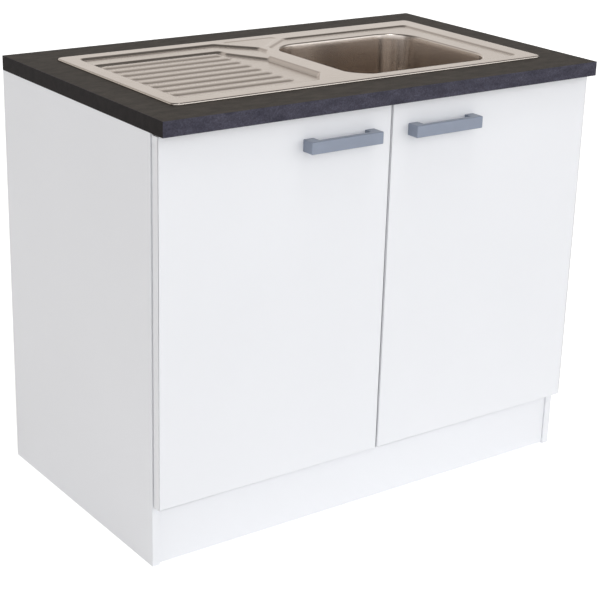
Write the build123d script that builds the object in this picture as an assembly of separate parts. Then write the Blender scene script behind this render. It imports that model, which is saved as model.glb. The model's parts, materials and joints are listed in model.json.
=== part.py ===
"""Kitchen sink unit: a two-door base cabinet with a worktop and an inset steel sink.

Millimetres, +Z up. The doors face -Y. The origin lies on the floor, midway between
the side panels and midway between the front of the handles and the back edge.
"""
from build123d import *
import os
from math import cos, pi, radians, sin, sqrt, tan

# ---- Overall sizes -------------------------------------------------------------------
unit_width = 1000.0
worktop_height = 850.0
worktop_depth = 600.0
worktop_thickness = 28.0
edge_band = 0.8
board = 16.0
carcass_setback = 42.0        # worktop front edge to the front edge of the side panels
screw_play = 0.05             # radial play of a screw in its hole
run_gap = 0.3                 # play between pieces that move past each other

# ---- Cabinet boards ------------------------------------------------------------------
plinth_height = 120.0
plinth_floor_gap = 2.0
plinth_recess = 4.0
front_rail_height = 80.0
back_rail_height = 100.0
lower_rail_height = 80.0
wall_hole_radius = 3.0
wall_hole_spacing = 800.0

# ---- Board fittings: cams, cam bolts and dowels --------------------------------------
cam_radius = 7.2
cam_depth = 12.3
cam_from_end = 34.0
cam_bolt_radius = 3.0
cam_bolt_bite = 10.0          # depth of the bolt's thread in the side panel
dowel_radius = 4.0
dowel_length = 30.0
dowel_bite = 10.0             # depth of the dowel in the side panel
fitting_inset = 60.0          # first fitting from the front or back edge of the bottom
fitting_spacing = 40.0        # cam to dowel

# ---- Doors ---------------------------------------------------------------------------
door_thickness = 18.0
door_gap = 3.0                # back of a closed door to the carcass
door_side_reveal = 2.0
door_centre_gap = 3.0
door_top_reveal = 3.0
door_bottom_reveal = 4.0

# ---- Handles -------------------------------------------------------------------------
handle_length = 160.0
handle_height = 23.0
handle_projection = 28.0
handle_bar = 10.5
handle_foot = 22.0
handle_round = 2.0
handle_from_free_edge = 38.0
handle_drop = 45.0            # worktop underside to the top of the handle
handle_screw_radius = 2.0
handle_screw_bite = 12.0

# ---- Concealed hinges ----------------------------------------------------------------
hinge_inset = 100.0           # cup centre to the door's top or bottom edge
cup_radius = 17.5
cup_depth = 11.5
cup_wall = 1.0
cup_shift = 2.0               # cup centre outside the arm's centre line
cup_plate = 1.2
cup_plate_width = 26.0
cup_screw_spacing = 48.0
cup_screw_margin = 5.0        # screw centre to the end of the cup's plate
arm_from_panel = 5.0          # height of the mounting plate, which carries the arm
arm_height = 11.0
arm_width = 16.0
arm_wall = 1.5
arm_tail = 5.0                # arm behind its mounting plate
arm_tip_gap = 0.5             # tip of the arm to the bottom of the cup
arm_tip_height = 8.0
plate_setback = 20.0
plate_length = 40.0
plate_screw_spacing = 32.0
plate_screw_margin = 7.0      # screw centre to the end of the plate's wing
hinge_screw_radius = 2.0
hinge_screw_bite = 11.0

# ---- Small hardware ------------------------------------------------------------------
screw_head_radius = 3.8
screw_head_height = 2.2
bumper_radius = 4.0
bumper_top_inset = 16.0       # bumper centre to the door's top edge
bumper_low_inset = 8.0        # bumper centre to the door's bottom edge
bumper_side_inset = 12.0      # bumper centre to the door's free edge
bracket_leg = 25.0
bracket_hole_reach = 15.0     # bracket's corner to its screws
bracket_width = 20.0
bracket_sheet = 2.0
bracket_screw_radius = 1.8
bracket_screw_bite = 12.0

# ---- Sink: outline and levels --------------------------------------------------------
sheet = 0.8
sink_side_margin = 70.0       # worktop edge to the sink, left and right
sink_front_margin = 82.5      # worktop edge to the sink, front and back
sink_corner = 15.0
rim_height = 4.0              # crest of the rim above the worktop
cutout_margin = 10.0          # how far the rim laps over the worktop
press_round = 9.0             # corner radius of the pressed steps
surround_drop = 3.0           # bowl surround below the crest
shelf_drop = 4.0              # drainer shelf below the crest
tray_drop = 8.0               # ribbed tray below the crest
deck_drop = 1.2               # tap deck below the crest

# ---- Sink: plan of the pressed fields, from the sink's left and front edges ----------
field_left = 35.0
field_front = 37.0
tray_right = 370.0
tray_corner = 48.0            # cut corner of the tray at the front
tray_end = 322.0              # right end of the tray's back edge
tray_ledge = 1.5              # step of the shelf round the ribbed tray
shelf_end = 338.0
bridge_neck = 400.0           # narrowest place of the shelf, beside the tap deck
deck_left = 352.0
deck_right = 500.0
deck_point = 410.0
mouth_lip = 5.0               # flat strip round the bowl's mouth, left and front

# ---- Sink: plan of the pressed fields, from the sink's back and right edges ----------
deck_back_margin = 27.0
field_back_margin = 33.0
surround_back_margin = 49.0
surround_right_margin = 43.0
tray_back_margin = 80.0
bowl_back_margin = 92.0
bowl_right_margin = 91.0
neck_back_margin = 102.0
deck_point_margin = 105.0
neck_front_margin = 132.0
tray_bend_margin = 182.0

# ---- Sink: drainer ribs --------------------------------------------------------------
rib_pitch = 35.2
rib_width = 28.0
rib_height = 3.0
rib_start = 46.0
rib_end = 314.0

# ---- Sink: bowl ----------------------------------------------------------------------
bowl_left = 426.0
bowl_front = 36.0
bowl_depth = 150.0
bowl_corner = 68.0
bowl_draft = 4.0
bowl_bottom_round = 28.0
dish_play = 0.7               # waste dish in the bowl's waste hole

# ---- Sink: seal and clips ------------------------------------------------------------
seal_play = 0.5
clip_width = 22.0
clip_sheet = 1.5
clip_play = 1.0
clip_foot = 16.0
clip_drop = 6.0               # clip foot below the underside of the worktop
clip_screw_radius = 2.0
clip_spread = 0.8             # end clips, as a share of half the long edge

# ---- Waste fitting and trap ----------------------------------------------------------
flange_radius = 56.0
flange_thickness = 1.5
dish_radius = 44.8
dish_depth = 24.0
dish_sheet = 1.2
drain_hole_radius = 5.0
drain_hole_ring = 27.0
drain_hole_count = 8
basket_play = 2.6             # rim of the basket to the wall of the dish
basket_flare = 7.0            # rim radius less foot radius
basket_sheet = 1.0
basket_slot_radius = 2.2
basket_slot_count = 12
basket_outer_ring = 23.8
basket_inner_ring = 14.3
knob_radius = 7.0
knob_neck = 6.3               # from the post's end to the knob's widest place
knob_dome = 3.5               # top of the knob above its widest place
knob_bevel = 1.4
post_radius = 3.0
gasket_thickness = 3.0
gasket_width = 9.0
waste_body_depth = 36.0
waste_body_wall = 2.5
spout_radius = 20.0
spout_length = 34.0
waste_bolt_radius = 3.0
pipe_wall = 1.8
pipe_radius = 16.0
nut_wall = 7.0
nut_height = 20.0
nut_lobes = 8
nut_groove = 2.8              # radius of the hollows between the lobes
inlet_pipe_length = 70.0
bottle_radius = 34.0
bottle_wall = 2.5
bottle_cup_height = 34.0
bottle_cup_wall = 3.5
outlet_drop = 20.0            # top of the bottle to the top of the outlet pipe
inlet_dip_gap = 43.0          # end of the inlet pipe to the bottom of the bottle
cup_clearance = 4.0           # outlet socket to the rim of the trap's cup
outlet_radius = 20.0
outlet_back_gap = 8.0         # end of the outlet pipe to the back plane
outlet_spigot = 45.0          # free end of the outlet pipe, up to its stop bead
bead_height = 1.2
bead_width = 3.0

# ---- Overflow ------------------------------------------------------------------------
overflow_drop = 34.0          # overflow centre below the bowl's surround
overflow_hole_radius = 12.0
rose_radius = 21.0
rose_thickness = 1.6
rose_screw_radius = 2.2
rose_hole_ring = 8.0
rose_hole_count = 6
elbow_radius = 17.0
elbow_gap = 1.5               # bowl's wall to the elbow's spigot
overflow_pipe_radius = 9.0
overflow_pipe_wall = 1.2
overflow_bend = 24.0

# ---- Places worked out from the sizes above ------------------------------------------
half_width = unit_width / 2
door_front_setback = carcass_setback - door_gap - door_thickness
handle_beyond_top = handle_projection - door_front_setback
overall_depth = worktop_depth + handle_beyond_top
top_front = -overall_depth / 2 + handle_beyond_top
top_back = top_front + worktop_depth
carcass_front = top_front + carcass_setback
door_back = carcass_front - door_gap
door_front = door_back - door_thickness
top_under = worktop_height - worktop_thickness
bottom_top = plinth_height + board
panel_inner = half_width - board
door_low = plinth_height + door_bottom_reveal
door_high = top_under - door_top_reveal
door_width = half_width - door_side_reveal - door_centre_gap / 2
# The pivot line lies where the turning door's back corner just clears the side panel.
pivot_from_back = door_thickness / 2
pivot_from_edge = sqrt((pivot_from_back + door_gap - run_gap) ** 2 - pivot_from_back ** 2)
cup_from_edge = board - door_side_reveal + arm_from_panel + arm_height / 2 - cup_shift
cup_plate_height = cup_screw_spacing + 2 * cup_screw_margin
arm_reach = plate_setback + plate_length + arm_tail
arm_tip_depth = cup_depth - cup_wall - arm_tip_gap
plate_height = plate_screw_spacing + 2 * plate_screw_margin
sink_length = unit_width - 2 * sink_side_margin
sink_width = worktop_depth - 2 * sink_front_margin
sink_left = -sink_length / 2
sink_front = top_front + sink_front_margin
bowl_length = sink_length - bowl_left - bowl_right_margin
bowl_width = sink_width - bowl_front - bowl_back_margin
tray_back = sink_width - tray_back_margin
crest = worktop_height + rim_height
surround = crest - surround_drop
tray = crest - tray_drop
bowl_x = sink_left + bowl_left + bowl_length / 2
bowl_y = sink_front + bowl_front + bowl_width / 2
bowl_floor = surround - bowl_depth
handle_z = top_under - handle_drop - handle_height / 2
waste_hole_radius = dish_radius + dish_play
basket_radius = dish_radius - dish_sheet - basket_play
basket_foot_radius = basket_radius - basket_flare
basket_clearance = screw_head_height + run_gap
basket_height = dish_depth - dish_sheet - basket_clearance - run_gap
bottle_cup_radius = bottle_radius + bottle_cup_wall
elbow_depth = 2 * (overflow_pipe_radius + 2 * overflow_pipe_wall + elbow_gap)
bottle_height = (outlet_drop + 2 * (outlet_radius + bottle_wall) + cup_clearance
                 + bottle_cup_height)
sides = {"left": -1, "right": 1}


# ---- Helpers -------------------------------------------------------------------------
def block(x_ends, y_ends, z_ends):
    """Box between two values on each axis, given in any order."""
    size = [abs(ends[1] - ends[0]) for ends in (x_ends, y_ends, z_ends)]
    middle = [(ends[0] + ends[1]) / 2 for ends in (x_ends, y_ends, z_ends)]
    return Pos(*middle) * Box(*size)


def rod(start, direction, length, radius):
    """Round bar from a point along a direction."""
    return extrude(Plane(origin=start, z_dir=direction) * Circle(radius), length)


def pipe(start, direction, length, outer, wall):
    """Round tube from a point along a direction."""
    return rod(start, direction, length, outer) - rod(start, direction, length, outer - wall)


def screw(seat, direction, length, radius):
    """Pan-head screw whose head sits on the point `seat`."""
    back = tuple(-part for part in direction)
    head = rod(seat, back, screw_head_height, screw_head_radius)
    head = fillet(head.edges().group_by(Axis(seat, back))[-1], screw_head_height * 0.6)
    return head + rod(seat, direction, length, radius)


def turned(profile):
    """Solid of revolution about Z from (radius, height) points."""
    return revolve(make_face(Polyline(*[(r, 0, z) for r, z in profile], close=True)), Axis.Z)


def rounded(points, radius, grow=0.0):
    """Closed outline with rounded corners, grown by an even margin."""
    outline = fillet(Polygon(*points, align=None).vertices(), radius)
    return offset(outline, amount=grow) if grow else outline


def sink_point(along, across):
    """Plan point given from the sink's left and front edges."""
    return (sink_left + along, sink_front + across)


def save(name, *solids):
    """Write one sub-part, as a group where it has several solids."""
    shape = solids[0] if len(solids) == 1 else Compound(children=list(solids))
    export_step(shape, f"parts/{name}.step")


# ---- Cabinet -------------------------------------------------------------------------
def fitting_places():
    """Cams and dowels at the ends of each cross board.

    Gives, for each board, the direction its cams face and (kind, y, z) of each fitting.
    """
    rail_y = carcass_front + board / 2
    back_y = top_back - board / 2
    plinth_y = rail_y + plinth_recess
    floor_z = plinth_height + board / 2
    reach = fitting_spacing / 2
    front_y = carcass_front + fitting_inset
    rear_y = top_back - fitting_inset

    def upright(y, middle):
        return [("cam", y, middle + reach), ("dowel", y, middle - reach)]

    return {
        "bottom_panel": ((0, 0, -1), [
            ("cam", front_y, floor_z), ("dowel", front_y + fitting_spacing, floor_z),
            ("cam", rear_y, floor_z), ("dowel", rear_y - fitting_spacing, floor_z)]),
        "plinth_board": ((0, 1, 0), upright(plinth_y, plinth_height / 2)),
        "front_rail": ((0, 1, 0), upright(rail_y, top_under - front_rail_height / 2)),
        "back_rail": ((0, -1, 0), upright(back_y, top_under - back_rail_height / 2)),
        "lower_back_rail": ((0, -1, 0), upright(back_y, bottom_top + lower_rail_height / 2)),
    }


def fitting_solids(kind, side, y, z, face, play):
    """Solids of one fitting; `play` widens them when they are used as holes."""
    inward = (-side, 0, 0)
    if kind == "dowel":
        start = (side * (panel_inner + dowel_bite + play), y, z)
        return [rod(start, inward, dowel_length + 2 * play, dowel_radius + play)]
    start = (side * (panel_inner + cam_bolt_bite + play), y, z)
    bolt_end = cam_from_end if play else cam_from_end - cam_radius - screw_play
    bolt = rod(start, inward, cam_bolt_bite + play + bolt_end, cam_bolt_radius + play)
    x = side * (panel_inner - cam_from_end)
    seat = (x, y + face[1] * board / 2, z + face[2] * board / 2)
    cam = rod(seat, tuple(-part for part in face), cam_depth + play, cam_radius + play)
    return [bolt, cam]


def all_fittings(play=0.0):
    """Every fitting with its board and side: (board, side, kind, solids)."""
    found = []
    for name, (face, places) in fitting_places().items():
        for side in sides.values():
            for kind, y, z in places:
                found.append((name, side, kind, fitting_solids(kind, side, y, z, face, play)))
    return found


def drilled(solid, board_name=None, side=None):
    """Board with its own fitting holes cut."""
    for name, hole_side, _, holes in all_fittings(screw_play):
        if name == board_name or hole_side == side:
            for hole in holes:
                solid -= hole
    return solid


def side_panel(side):
    """Side panel with its bores for cam bolts, dowels and screws."""
    panel = block((side * panel_inner, side * half_width), (carcass_front, top_back), (0, top_under))
    panel = drilled(panel, side=side)
    for z in hinge_heights():
        for y, height in plate_screw_places(z):
            seat = (side * panel_inner, y, height)
            panel -= rod(seat, (side, 0, 0), hinge_screw_bite, hinge_screw_radius + screw_play)
    for y in bracket_places():
        seat = (side * panel_inner, y, top_under - bracket_hole_reach)
        panel -= rod(seat, (side, 0, 0), bracket_screw_bite, bracket_screw_radius + screw_play)
    return panel


def cross_board(name, y_ends, z_ends):
    """Board between the side panels, with the bores of its fittings."""
    return drilled(block((-panel_inner, panel_inner), y_ends, z_ends), board_name=name)


def back_rail():
    """Upper rail at the back, with two holes for the wall screws."""
    low = top_under - back_rail_height
    rail = cross_board("back_rail", (top_back - board, top_back), (low, top_under))
    for side in sides.values():
        start = (side * wall_hole_spacing / 2, top_back - board, low + back_rail_height / 2)
        rail -= rod(start, (0, 1, 0), board, wall_hole_radius)
    return rail


def worktop():
    """Core of the worktop with the sink's cut-out and the bracket screw holes."""
    top = block((-half_width + edge_band, half_width - edge_band),
                (top_front + edge_band, top_back), (top_under, worktop_height))
    top -= extrude(Pos(0, 0, top_under) * cutout_outline(), worktop_thickness)
    for side in sides.values():
        for y in bracket_places():
            seat = bracket_screw_seat(side, y)
            top -= rod(seat, (0, 0, 1), bracket_screw_bite, bracket_screw_radius + screw_play)
    return top


def worktop_edges():
    """Front, left and right edge bands of the worktop."""
    heights = (top_under, worktop_height)
    front = block((-half_width, half_width), (top_front, top_front + edge_band), heights)
    ends = [block((side * (half_width - edge_band), side * half_width),
                  (top_front + edge_band, top_back), heights) for side in sides.values()]
    return [front] + ends


def bracket_places():
    """Centres of the angle brackets along the side panels."""
    inset = board + bracket_leg
    return (carcass_front + inset, top_back - inset)


def bracket_screw_seat(side, y):
    """Underside of the bracket's upper leg, where its upward screw sits."""
    return (side * (panel_inner - bracket_hole_reach), y, top_under - bracket_sheet)


def angle_bracket(side, y):
    """Steel angle that holds the worktop down on a side panel."""
    inner = panel_inner - bracket_leg
    width = (y - bracket_width / 2, y + bracket_width / 2)
    level = block((side * inner, side * panel_inner), width, (top_under - bracket_sheet, top_under))
    upright = block((side * (panel_inner - bracket_sheet), side * panel_inner), width,
                    (top_under - bracket_leg, top_under))
    angle = level + upright
    reach = bracket_sheet * 2
    radius = bracket_screw_radius + screw_play
    angle -= rod(bracket_screw_seat(side, y), (0, 0, 1), reach, radius)
    beside = (side * (panel_inner - reach), y, top_under - bracket_hole_reach)
    return angle - rod(beside, (side, 0, 0), reach, radius)


def bracket_screws():
    """One screw up into the worktop and one into the side panel for each angle."""
    made = []
    for side in sides.values():
        for y in bracket_places():
            made.append(screw(bracket_screw_seat(side, y), (0, 0, 1), bracket_screw_bite,
                              bracket_screw_radius))
            seat = (side * (panel_inner - bracket_sheet), y, top_under - bracket_hole_reach)
            made.append(screw(seat, (side, 0, 0), bracket_screw_bite, bracket_screw_radius))
    return made


# ---- Doors ---------------------------------------------------------------------------
def hinge_heights():
    """Centre heights of the two hinges of a door."""
    return (door_low + hinge_inset, door_high - hinge_inset)


def door_outer(side):
    """X of a door's outer, hinged edge."""
    return side * (half_width - door_side_reveal)


def pivot(side):
    """X and Y of the upright line about which a door turns."""
    return (door_outer(side) - side * pivot_from_edge, door_back - pivot_from_back)


def cup_centre(side, z):
    """Centre of a hinge cup's mouth on the door's back face."""
    return (door_outer(side) - side * cup_from_edge, door_back, z)


def handle_feet(side):
    """Centres of the two feet of a handle, on the door's front face."""
    inner = side * (door_centre_gap / 2 + handle_from_free_edge + handle_foot / 2)
    outer = inner + side * (handle_length - handle_foot)
    return [(x, door_front, handle_z) for x in (inner, outer)]


def bumper_places(side):
    """Centres of a door's two bumpers, near its free edge."""
    x = side * (door_centre_gap / 2 + bumper_side_inset)
    return [(x, door_back, z) for z in (door_high - bumper_top_inset, door_low + bumper_low_inset)]


def door_panel(side):
    """Door board inside its edge bands, with cup bores and screw holes."""
    outer = door_outer(side)
    free = outer - side * door_width
    panel = block((outer - side * edge_band, free + side * edge_band), (door_front, door_back),
                  (door_low + edge_band, door_high - edge_band))
    for z in hinge_heights():
        panel -= rod(cup_centre(side, z), (0, -1, 0), cup_depth, cup_radius)
        for seat in cup_screw_seats(side, z):
            panel -= rod(seat, (0, -1, 0), hinge_screw_bite, hinge_screw_radius + screw_play)
    for foot in handle_feet(side):
        panel -= rod(foot, (0, 1, 0), door_thickness, handle_screw_radius + screw_play)
    return panel


def door_edges(side):
    """Four edge bands of a door."""
    outer = door_outer(side)
    free = outer - side * door_width
    depth = (door_front, door_back)
    inner_x = (outer - side * edge_band, free + side * edge_band)
    return [
        block((outer, outer - side * edge_band), depth, (door_low, door_high)),
        block((free, free + side * edge_band), depth, (door_low, door_high)),
        block(inner_x, depth, (door_low, door_low + edge_band)),
        block(inner_x, depth, (door_high - edge_band, door_high)),
    ]


def handle(side):
    """Bow handle: a flat bar on two square feet, with rounded edges."""
    feet = handle_feet(side)
    middle = (feet[0][0] + feet[1][0]) / 2
    heights = (handle_z - handle_height / 2, handle_z + handle_height / 2)
    front = door_front - handle_projection
    reach = handle_length / 2
    bow = block((middle - reach, middle + reach), (front, door_front), heights)
    gap = reach - handle_foot
    bow -= block((middle - gap, middle + gap), (front + handle_bar, door_front), heights)
    bow = fillet(bow.edges().filter_by(Axis.Z).group_by(Axis.Y)[0], handle_round)
    bow = fillet(bow.edges().filter_by(Axis.X).group_by(Axis.Y)[0], handle_round)
    for foot in feet:
        bow -= rod(foot, (0, -1, 0), handle_screw_bite, handle_screw_radius + screw_play)
    return bow


def handle_screws(side):
    """Screws from the back of the door into the handle's feet."""
    length = door_thickness + handle_screw_bite
    return [screw((x, door_back, z), (0, -1, 0), length, handle_screw_radius)
            for x, _, z in handle_feet(side)]


def cup_screw_seats(side, z):
    """Places of the two cup screws on the door's back face."""
    x, y, _ = cup_centre(side, z)
    reach = cup_screw_spacing / 2
    return [(x, y, z - reach), (x, y, z + reach)]


def hinge_cup(side, z):
    """Round cup let into the door, with a plate on the door's back face."""
    centre = cup_centre(side, z)
    x, y, _ = centre
    cup = rod(centre, (0, -1, 0), cup_depth - screw_play, cup_radius - screw_play)
    plate = block((x - cup_plate_width / 2, x + cup_plate_width / 2), (y, y + cup_plate),
                  (z - cup_plate_height / 2, z + cup_plate_height / 2))
    plate = fillet(plate.edges().filter_by(Axis.Y), cup_plate_width / 4)
    ring = rod(centre, (0, 1, 0), cup_plate, cup_radius + cup_wall)
    mouth = (x, y + cup_plate, z)
    made = cup + plate + ring
    made -= rod(mouth, (0, -1, 0), cup_plate + cup_depth - cup_wall, cup_radius - cup_wall)
    for seat in cup_screw_seats(side, z):
        made -= rod(seat, (0, 1, 0), cup_plate, hinge_screw_radius + screw_play)
    return made


def cup_screws(side):
    """Flat screws that hold the hinge cups in the door."""
    made = []
    for z in hinge_heights():
        for x, y, height in cup_screw_seats(side, z):
            head = rod((x, y + cup_plate, height), (0, 1, 0), cup_plate / 2, screw_head_radius)
            shank = rod((x, y + cup_plate, height), (0, -1, 0), hinge_screw_bite + cup_plate / 2,
                        hinge_screw_radius)
            made.append(head + shank)
    return made


def plate_screw_places(z):
    """(y, z) of the two screws of a hinge's mounting plate."""
    y = carcass_front + plate_setback + plate_length / 2
    return [(y, z - plate_screw_spacing / 2), (y, z + plate_screw_spacing / 2)]


def hinge_plate(side, z):
    """Mounting plate screwed to the side panel."""
    start = carcass_front + plate_setback
    base = block((side * panel_inner, side * (panel_inner - arm_from_panel)),
                 (start, start + plate_length), (z - arm_width / 2, z + arm_width / 2))
    wing_width = plate_length / 2
    wing_start = start + (plate_length - wing_width) / 2
    wing = block((side * panel_inner, side * (panel_inner - bracket_sheet)),
                 (wing_start, wing_start + wing_width), (z - plate_height / 2, z + plate_height / 2))
    wing = fillet(wing.edges().filter_by(Axis.X), wing_width / 4)
    plate = base + wing
    for y, height in plate_screw_places(z):
        plate -= rod((side * panel_inner, y, height), (-side, 0, 0), bracket_sheet,
                     hinge_screw_radius + screw_play)
    return plate


def plate_screws():
    """Screws of the four mounting plates."""
    made = []
    for side in sides.values():
        for z in hinge_heights():
            for y, height in plate_screw_places(z):
                seat = (side * (panel_inner - bracket_sheet), y, height)
                made.append(screw(seat, (side, 0, 0), hinge_screw_bite, hinge_screw_radius))
    return made


def hinge_arm(side, z):
    """Channel-shaped arm with a narrow tip that reaches into the cup."""
    near = panel_inner - arm_from_panel
    far = near - arm_height
    heights = (z - arm_width / 2, z + arm_width / 2)
    start = carcass_front + arm_wall
    arm = block((side * near, side * far), (start, carcass_front + arm_reach), heights)
    hollow = (heights[0] + arm_wall, heights[1] - arm_wall)
    arm -= block((side * near, side * (far + arm_wall)), (start + arm_wall * 4,
                 carcass_front + plate_setback - arm_wall), hollow)
    middle = (near + far) / 2
    tip_half = arm_tip_height / 2
    return arm + block((side * (middle + tip_half), side * (middle - tip_half)),
                       (door_back - arm_tip_depth, start + arm_wall), hollow)


def door_bumpers(side):
    """Soft stops between the door and the cabinet."""
    return [rod(place, (0, 1, 0), door_gap - run_gap, bumper_radius)
            for place in bumper_places(side)]


# ---- Sink ----------------------------------------------------------------------------
def sink_outline(margin=0.0):
    """Outer outline of the sink, shrunk by a margin."""
    middle = sink_front + sink_width / 2
    return Pos(0, middle) * RectangleRounded(sink_length - 2 * margin, sink_width - 2 * margin,
                                             sink_corner - margin)


def cutout_outline(margin=0.0):
    """Outline of the worktop's cut-out, grown by a margin."""
    lap = 2 * (cutout_margin - margin)
    middle = sink_front + sink_width / 2
    return Pos(0, middle) * RectangleRounded(sink_length - lap, sink_width - lap, sink_corner)


def pressed_fields():
    """Outline and level of each field pressed into the sink's top."""
    front_cut = field_front + tray_corner
    neck_front = sink_width - neck_front_margin
    neck_back = sink_width - neck_back_margin
    tray_bend = sink_width - tray_bend_margin
    field_back = sink_width - field_back_margin
    cut_start = tray_right - tray_corner * 0.75
    shelf = [(field_left, field_front), (cut_start, field_front), (tray_right, front_cut),
             (tray_right, tray_bend), (bridge_neck, neck_front), (bridge_neck, neck_back),
             (shelf_end, field_back), (field_left, field_back)]
    left, front, right = field_left + tray_ledge, field_front + tray_ledge, tray_right - tray_ledge
    ribbed = [(left, front), (cut_start - tray_ledge, front), (right, front_cut + tray_ledge),
              (right, tray_bend - tray_ledge), (tray_end, neck_back), (tray_end, tray_back),
              (left, tray_back)]
    near, far = bowl_front - mouth_lip, sink_width - surround_back_margin
    start, end = bowl_left - mouth_lip, sink_length - surround_right_margin
    bowl_field = [(start, near), (end, near), (end, far), (deck_right, far),
                  (start, neck_back - press_round)]
    deck_back = sink_width - deck_back_margin
    deck = [(deck_left, deck_back), (deck_point, sink_width - deck_point_margin),
            (deck_right, deck_back)]
    drops = ((shelf, shelf_drop), (ribbed, tray_drop), (bowl_field, surround_drop),
             (deck, deck_drop))
    return [([sink_point(*point) for point in points], crest - drop) for points, drop in drops]


def drainer_ribs(inset):
    """Long low domes of the drainer; `inset` shrinks them for the hollow underneath."""
    curve = (rib_width ** 2 / 4 + rib_height ** 2) / (2 * rib_height)
    centre_z = tray + rib_height - curve
    start, _ = sink_point(rib_start + rib_width / 2, 0)
    length = rib_end - rib_start - rib_width
    ribs = []
    for number in range(int((tray_back - field_front) / rib_pitch)):
        y = sink_front + field_front + rib_pitch * (number + 0.5)
        bar = rod((start, y, centre_z), (1, 0, 0), length, curve - inset)
        for x in (start, start + length):
            bar += Pos(x, y, centre_z) * Sphere(curve - inset)
        box = block((start - rib_width, start + length + rib_width),
                    (y - rib_width, y + rib_width), (tray - inset, crest))
        ribs.append(bar & box)
    return ribs


def bowl_mouth(grow=0.0):
    """Outline of the bowl's mouth."""
    return Pos(bowl_x, bowl_y) * RectangleRounded(bowl_length + 2 * grow, bowl_width + 2 * grow,
                                                  bowl_corner + grow)


def sink_top():
    """Pressed top sheet: rim, ribbed drainer, tap deck and bowl surround."""
    low = tray - sheet
    solid = extrude(Pos(0, 0, worktop_height) * sink_outline(), rim_height)
    solid += extrude(Pos(0, 0, low) * cutout_outline(-sheet), crest - low)
    under = extrude(Pos(0, 0, worktop_height) * sink_outline(sheet), rim_height - sheet)
    under += extrude(Pos(0, 0, low) * cutout_outline(), crest - sheet - low)
    for points, level in pressed_fields():
        above = crest + sheet - level
        solid -= extrude(Pos(0, 0, level) * rounded(points, press_round), above)
        under -= extrude(Pos(0, 0, level - sheet) * rounded(points, press_round, sheet), above)
    for dome, hollow in zip(drainer_ribs(0.0), drainer_ribs(sheet)):
        solid += dome
        under += hollow
    top = solid - under
    return top - extrude(Pos(0, 0, surround - 2 * sheet) * bowl_mouth(), 4 * sheet)


def bowl_form(grow):
    """Solid that fills the bowl, grown by a wall where asked."""
    top = surround - sheet
    depth = bowl_depth - sheet + grow
    form = extrude(Pos(0, 0, top) * bowl_mouth(grow), -depth, taper=bowl_draft)
    return fillet(form.edges().group_by(Axis.Z)[0], bowl_bottom_round + grow)


def overflow_frame():
    """Plane on the inner face of the bowl's left wall, facing into the bowl."""
    x = bowl_x - bowl_length / 2 + (overflow_drop - sheet) * tan(radians(bowl_draft))
    lean = radians(bowl_draft)
    return Plane(origin=(x, bowl_y, surround - overflow_drop), x_dir=(0, 1, 0),
                 z_dir=(cos(lean), 0, sin(lean)))


def overflow_bar(length, radius, start=0.0):
    """Round bar square to the bowl's left wall; positive lengths run into the bowl."""
    return extrude(overflow_frame() * Pos(0, 0, start) * Circle(radius), length)


def sink_bowl():
    """Deep-drawn bowl with its waste hole and its overflow hole."""
    bowl = bowl_form(sheet) - bowl_form(0.0)
    bowl -= rod((bowl_x, bowl_y, bowl_floor + sheet), (0, 0, -1), 3 * sheet, waste_hole_radius)
    return bowl - overflow_bar(-4 * sheet, overflow_hole_radius, 2 * sheet)


def sink_seal():
    """Foam strip under the rim."""
    height = rim_height - sheet
    ring = sink_outline(sheet + seal_play) - cutout_outline(seal_play)
    return extrude(Pos(0, 0, worktop_height) * ring, height)


def clip_places():
    """Centre of each clip on the cut-out's edge, and the direction out of the cut-out."""
    left = sink_left + cutout_margin
    front = sink_front + cutout_margin
    back = sink_front + sink_width - cutout_margin
    middle = (front + back) / 2
    places = [((side * left, middle), (-side, 0)) for side in (1, -1)]
    for share in (-clip_spread, 0.0, clip_spread):
        places.append(((share * -left, front), (0, -1)))
        places.append(((share * -left, back), (0, 1)))
    return places


def clip_at(place, outward):
    """Bent steel clip: a leg down the cut-out's edge and a foot under the worktop."""
    foot_top = top_under - clip_drop
    reach = clip_play + clip_sheet
    leg = block((-reach, -clip_play), (-clip_width / 2, clip_width / 2),
                (foot_top - clip_sheet, crest - sheet))
    foot = block((-reach, clip_foot), (-clip_width / 2, clip_width / 2),
                 (foot_top - clip_sheet, foot_top))
    hole = rod((clip_foot / 2, 0, foot_top - clip_sheet), (0, 0, 1), clip_sheet,
               clip_screw_radius + screw_play)
    angle = {(-1, 0): 180, (1, 0): 0, (0, -1): -90, (0, 1): 90}[outward]
    return Pos(*place) * Rot(0, 0, angle) * (leg + foot - hole)


def clip_screw_at(place, outward):
    """Screw that presses a clip's foot away from the worktop."""
    x = place[0] + outward[0] * clip_foot / 2
    y = place[1] + outward[1] * clip_foot / 2
    seat = (x, y, top_under - clip_drop - clip_sheet)
    return screw(seat, (0, 0, 1), clip_drop + clip_sheet, clip_screw_radius)


# ---- Waste fitting -------------------------------------------------------------------
def around(radius, count):
    """Points evenly spaced on a circle about the waste's axis."""
    turns = [2 * pi * number / count for number in range(count)]
    return [(radius * cos(turn), radius * sin(turn)) for turn in turns]


def at_waste(solid, height):
    """Move a solid made about the Z axis to the waste's axis."""
    return Pos(bowl_x, bowl_y, height) * solid


def waste_flange():
    """Steel dish in the bowl's waste hole, with drain holes in its bottom."""
    bottom = -dish_depth
    inner = dish_radius - dish_sheet
    dish = turned([(waste_bolt_radius + screw_play, bottom), (dish_radius, bottom),
                   (dish_radius, 0), (flange_radius, 0), (flange_radius - flange_thickness,
                   flange_thickness), (inner, flange_thickness), (inner, bottom + dish_sheet),
                   (waste_bolt_radius + screw_play, bottom + dish_sheet)])
    for x, y in around(drain_hole_ring, drain_hole_count):
        dish -= rod((x, y, bottom), (0, 0, 1), dish_sheet, drain_hole_radius)
    return at_waste(dish, bowl_floor)


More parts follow.
